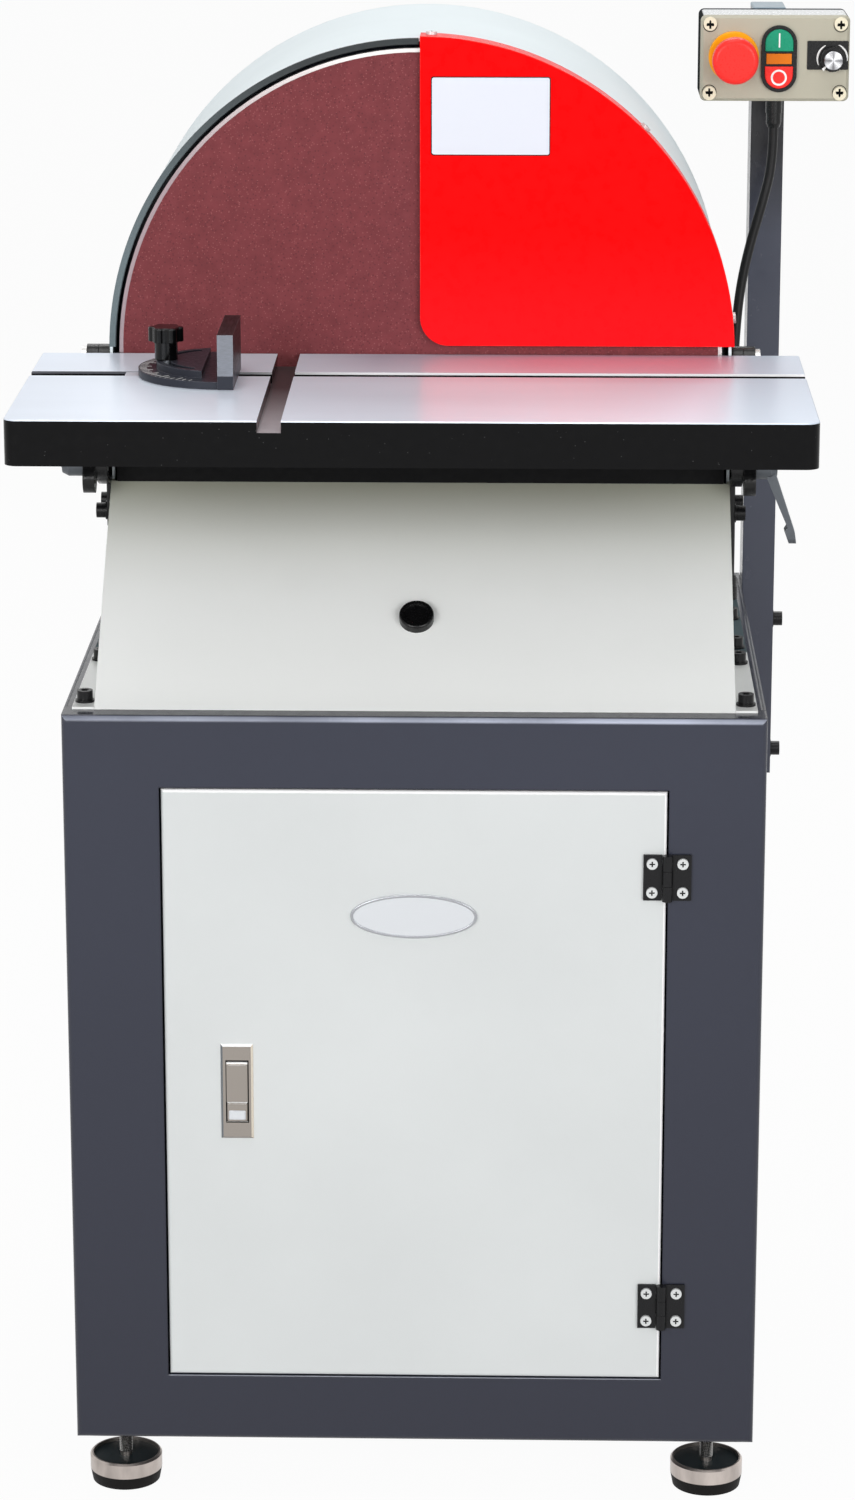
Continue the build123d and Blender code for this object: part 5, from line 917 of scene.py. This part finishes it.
def make_guard_plate(materials):
    """A blank white plate on the guard, with a thin border of painted shadow round it."""
    centre = Vector((PLATE_X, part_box("disc_guard")[0].y, PLATE_Z))
    made = bmesh.new()
    # Painted shadow: a dark border round the plate
    border = rounded(PLATE_W + 2 * BORDER_W, PLATE_H + 2 * BORDER_W, BORDER_CORNER, steps=3)
    slab(made, border, centre, ACROSS, UP, BORDER_T)
    keep("guard_plate_shadow_border", made, materials["dark_gap"], "stand")
    made = bmesh.new()
    slab(made, rounded(PLATE_W, PLATE_H, PLATE_CORNER), centre, ACROSS, UP, PLATE_T, PLATE_BEVEL)
    keep("guard_plate", made, materials["label"], "stand")


def make_badge_rim(materials):
    """A rounded rim round the blank oval badge."""
    made = bmesh.new()
    low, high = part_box("door_badge")
    centre = middle("door_badge")
    half_w, half_h = (high.x - low.x) / 2 - RIM_INSET, (high.z - low.z) / 2 - RIM_INSET
    section = [(RIM_HALF_W * math.cos(turn), RIM_HALF_H * math.sin(turn))
               for turn in (math.tau * k / RIM_SIDES for k in range(RIM_SIDES))]
    rows = []
    for turn in (math.tau * step / RIM_STEPS for step in range(RIM_STEPS)):
        place = centre + ACROSS * (half_w * math.cos(turn)) + UP * (half_h * math.sin(turn))
        out = (ACROSS * (math.cos(turn) / half_w) + UP * (math.sin(turn) / half_h)).normalized()
        rows.append([place + out * aside + AHEAD * rise for aside, rise in section])
    skin(made, rows)
    keep("badge_rim", made, materials["bright_rim"], "door")


def make_key_marks(materials):
    """A bar on the start key and a ring on the stop key."""
    made = bmesh.new()
    bar = rounded(START_BAR_W, START_BAR_H, START_BAR_CORNER, steps=3)
    slab(made, bar, middle("start_button"), ACROSS, UP, KEY_INK_T)
    keep("start_mark", made, materials["white_ink"], "start_button")
    made = bmesh.new()
    hoop(made, middle("stop_button"), flat_section(STOP_RING_IN, STOP_RING_OUT, KEY_INK_T))
    keep("stop_mark", made, materials["white_ink"], "stop_button")


def make_lid_screws(materials):
    """Painted shade on the lid's screws: a dark cross in the head of each, and a dark ring in the gap round
    the head.
    """
    low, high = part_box("control_lid")
    section = flat_section(SCREW_R - SCREW_GAP_IN, SCREW_R + SCREW_GAP_OUT, SCREW_GAP_T)
    recess = crossed(CROSS_REACH, CROSS_HALF_W)
    rings, crosses = bmesh.new(), bmesh.new()
    for x in (low.x + SCREW_INSET, high.x - SCREW_INSET):
        for z in (low.z + SCREW_INSET, high.z - SCREW_INSET):
            centre = Vector((x, low.y, z))
            # Painted shade: a dark ring in the gap and a dark cross over the recess
            hoop(rings, centre, section)
            slab(crosses, recess, centre + AHEAD * SCREW_HEAD_H, ACROSS, UP, CROSS_T)
    keep("screw_ring_shadows", rings, materials["dark_gap"], "stand")
    keep("screw_cross_shadows", crosses, materials["dark_gap"], "stand")


def make_dial_marks(materials):
    """Two tapering arcs on the dial plate, round the speed knob."""
    knob = middle("speed_knob")
    centre = Vector((knob.x, middle("dial_plate").y, knob.z))
    made = bmesh.new()
    for start, end in ARC_TURNS:
        rows = []
        for share in (step / (ARC_STEPS - 1) for step in range(ARC_STEPS)):
            out = spoke(start + (end - start) * share)
            half = ARC_HALF_W + ARC_SWELL * math.sin(math.pi * share)
            section = flat_section(ARC_R - half, ARC_R + half, ARC_T)
            rows.append([centre + out * radius + AHEAD * rise for radius, rise in section])
        skin(made, rows, closed=False)
    keep("dial_marks", made, materials["white_ink"], "stand")


def make_knob_details(materials):
    """The speed knob's ribbed skirt, bright cap and white pointer."""
    knob = middle("speed_knob")
    made = bmesh.new()
    rib = rounded(RIB_W, RIB_H, RIB_CORNER, steps=2)
    for out in (spoke(360 * step / RIB_COUNT) for step in range(RIB_COUNT)):
        slab(made, rib, knob - AHEAD * RIB_BACK + out * RIB_R, out.cross(AHEAD), out, RIB_LENGTH)
    keep("knob_ribs", made, materials["black_plastic"], "speed_knob")
    made = bmesh.new()
    lathe(made, knob, AHEAD, ACROSS, CAP_PROFILE)
    keep("knob_cap", made, materials["cap_metal"], "speed_knob", smooth=20.0)
    made = bmesh.new()
    out = spoke(POINTER_TURN)
    pointer = tapered(POINTER_NEAR, POINTER_FAR, POINTER_NEAR_HALF_W, POINTER_FAR_HALF_W)
    slab(made, pointer, knob - AHEAD * POINTER_BACK, out, AHEAD.cross(out), POINTER_T)
    keep("knob_pointer", made, materials["white_ink"], "speed_knob")


def make_gauge_marks(materials):
    """Degree marks round the mitre gauge's flange."""
    made = bmesh.new()
    for step in range(-MARK_COUNT_EACH_WAY, MARK_COUNT_EACH_WAY + 1):
        out = spoke(180 + MARK_TURN * step, -AHEAD)
        reach = MARK_LONG if step % 3 == 0 else MARK_SHORT
        mark = tapered(0, reach, MARK_HALF_W, MARK_HALF_W)
        slab(made, mark, GAUGE_PIVOT + out * (MARK_R - reach), out, UP.cross(out), MARK_T)
    keep("gauge_marks", made, materials["white_ink"], "gauge_head")


def make_foot_threads(materials):
    """The thread on each levelling stud, between its cup and its nut."""
    profile = []
    for root in (THREAD_FOOT + THREAD_PITCH * turn for turn in range(THREAD_TURNS)):
        profile.extend([(root, THREAD_ROOT_R), (root + THREAD_PITCH / 2, THREAD_CREST_R)])
    for body in ("foot_front_left", "foot_front_right", "foot_rear_left", "foot_rear_right"):
        low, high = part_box(body)
        made = bmesh.new()
        centre = Vector(((low.x + high.x) / 2, (low.y + high.y) / 2, 0))
        lathe(made, centre, UP, ACROSS, profile, THREAD_SIDES)
        keep(f"{body}_thread", made, materials["steel"], body, smooth=20.0)


def make_latch_details(materials):
    """Bevelled faces on the latch's handle and button, strips of painted shadow in the gaps round them and a
    finger ledge.
    """
    low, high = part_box("latch_button")
    foot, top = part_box("latch_handle")[0].z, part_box("latch_handle")[1].z
    centre_x, width = (low.x + high.x) / 2, high.x - low.x
    for name, start, end in (("latch_handle", foot, top - SKIN_HEAD_GAP), ("latch_button", low.z, high.z)):
        made = bmesh.new()
        origin = Vector((centre_x, low.y, (start + end) / 2))
        outline = rounded(width - SKIN_INSET, end - start - SKIN_INSET, SKIN_CORNER, steps=3)
        slab(made, outline, origin, ACROSS, UP, SKIN_T, SKIN_BEVEL)
        keep(f"{name}_skin", made, materials["stainless"], name)
    # Painted shadow: dark strips in the gaps round the handle and button
    made = bmesh.new()
    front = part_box("latch_bezel")[0].y
    for left, right, start, end in (
        (low.x - GAP_LEFT, high.x + GAP_RIGHT, top + GAP_START, top + GAP_HEAD),
        (high.x + GAP_START, high.x + GAP_RIGHT, low.z, top),
        (low.x - GAP_LEFT, low.x - GAP_START, low.z, top),
        (low.x - GAP_LEFT, high.x + GAP_RIGHT, low.z - GAP_FOOT, low.z - GAP_START),
    ):
        origin = Vector(((left + right) / 2, front, (start + end) / 2))
        slab(made, rounded(right - left, end - start, GAP_CORNER, steps=1), origin, ACROSS, UP, GAP_T)
    keep("latch_gap_shadows", made, materials["dark_gap"], "door")
    made = bmesh.new()
    origin = Vector((centre_x, low.y - SKIN_T, low.z + LEDGE_RISE))
    slab(made, rounded(LEDGE_W, LEDGE_H, LEDGE_CORNER, steps=3), origin, ACROSS, UP, LEDGE_T, LEDGE_BEVEL)
    keep("latch_ledge", made, materials["badge"], "latch_button")


def make_chute_seal(materials):
    """A black lip along the chute's head, that closes the gap to the disc."""
    made = bmesh.new()
    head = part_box("dust_chute")[1].z
    skin(made, [
        [Vector((FACE.x + side, FACE.y - ahead, head + rise)) for ahead, rise in SEAL_SECTION]
        for side in (-SEAL_HALF_W, SEAL_HALF_W)
    ], closed=False)
    keep("chute_seal", made, materials["seal_rubber"], "stand")


# Light and stage
def seen_directly(tree):
    """1 for rays that show the backdrop itself, in metal or through glass too."""
    path = tree.nodes.new("ShaderNodeLightPath").outputs
    mirrored = number(tree, "MAXIMUM", path["Is Camera Ray"], path["Is Glossy Ray"])
    return number(tree, "MAXIMUM", mirrored, path["Is Transmission Ray"])


def make_floor():
    """A plain white floor that keeps a soft shadow."""
    bpy.ops.mesh.primitive_plane_add(size=FLOOR_SIZE, location=(0, 0, 0))
    floor = bpy.context.object
    floor.name = "floor"
    material = bpy.data.materials.new("floor")
    material.use_nodes = True
    tree = material.node_tree
    shader = tree.nodes["Principled BSDF"]
    shader.inputs["Base Color"].default_value = (FLOOR_GREY, FLOOR_GREY, FLOOR_GREY, 1)
    shader.inputs["Roughness"].default_value = 0.9
    shader.inputs["Specular IOR Level"].default_value = 0.0
    white = node(tree, "ShaderNodeEmission", Color=(1, 1, 1, 1), Strength=1.0)
    mix = tree.nodes.new("ShaderNodeMixShader")
    share = product(tree, seen_directly(tree), FLOOR_WHITE)
    for socket, value in zip(mix.inputs, (share, shader.outputs[0], white.outputs[0])):
        tree.links.new(value, socket)
    tree.links.new(mix.outputs[0], tree.nodes["Material Output"].inputs["Surface"])
    floor.data.materials.append(material)


def make_world():
    """Even white light from all round, and a white backdrop."""
    world = bpy.data.worlds.new("studio")
    world.use_nodes = True
    tree = world.node_tree
    backdrop = tree.nodes["Background"]
    backdrop.inputs["Color"].default_value = (1, 1, 1, 1)
    strength = between(tree, seen_directly(tree), 0.0, 1.0, WORLD_STRENGTH, 1.0)
    tree.links.new(strength, backdrop.inputs["Strength"])
    bpy.context.scene.world = world


def make_light(name, place, target, width, height, power):
    """A soft box."""
    data = bpy.data.lights.new(name, "AREA")
    data.shape = "RECTANGLE"
    data.size = width
    data.size_y = height
    data.energy = power
    light = bpy.data.objects.new(name, data)
    light.location = place
    aim = Vector(target) - Vector(place)
    light.rotation_euler = aim.to_track_quat("-Z", "Y").to_euler()
    bpy.context.scene.collection.objects.link(light)


bpy.context.scene.view_settings.view_transform = "Standard"
make_camera()
finishes = make_materials()
make_cable(finishes)
dress_nodes(finishes)
make_hood_trim(finishes)
make_disc_band(finishes)
make_guard_plate(finishes)
make_badge_rim(finishes)
make_key_marks(finishes)
make_lid_screws(finishes)
make_dial_marks(finishes)
make_knob_details(finishes)
make_gauge_marks(finishes)
make_foot_threads(finishes)
make_latch_details(finishes)
make_chute_seal(finishes)
make_floor()
make_world()
for light in LIGHTS:
    make_light(*light)
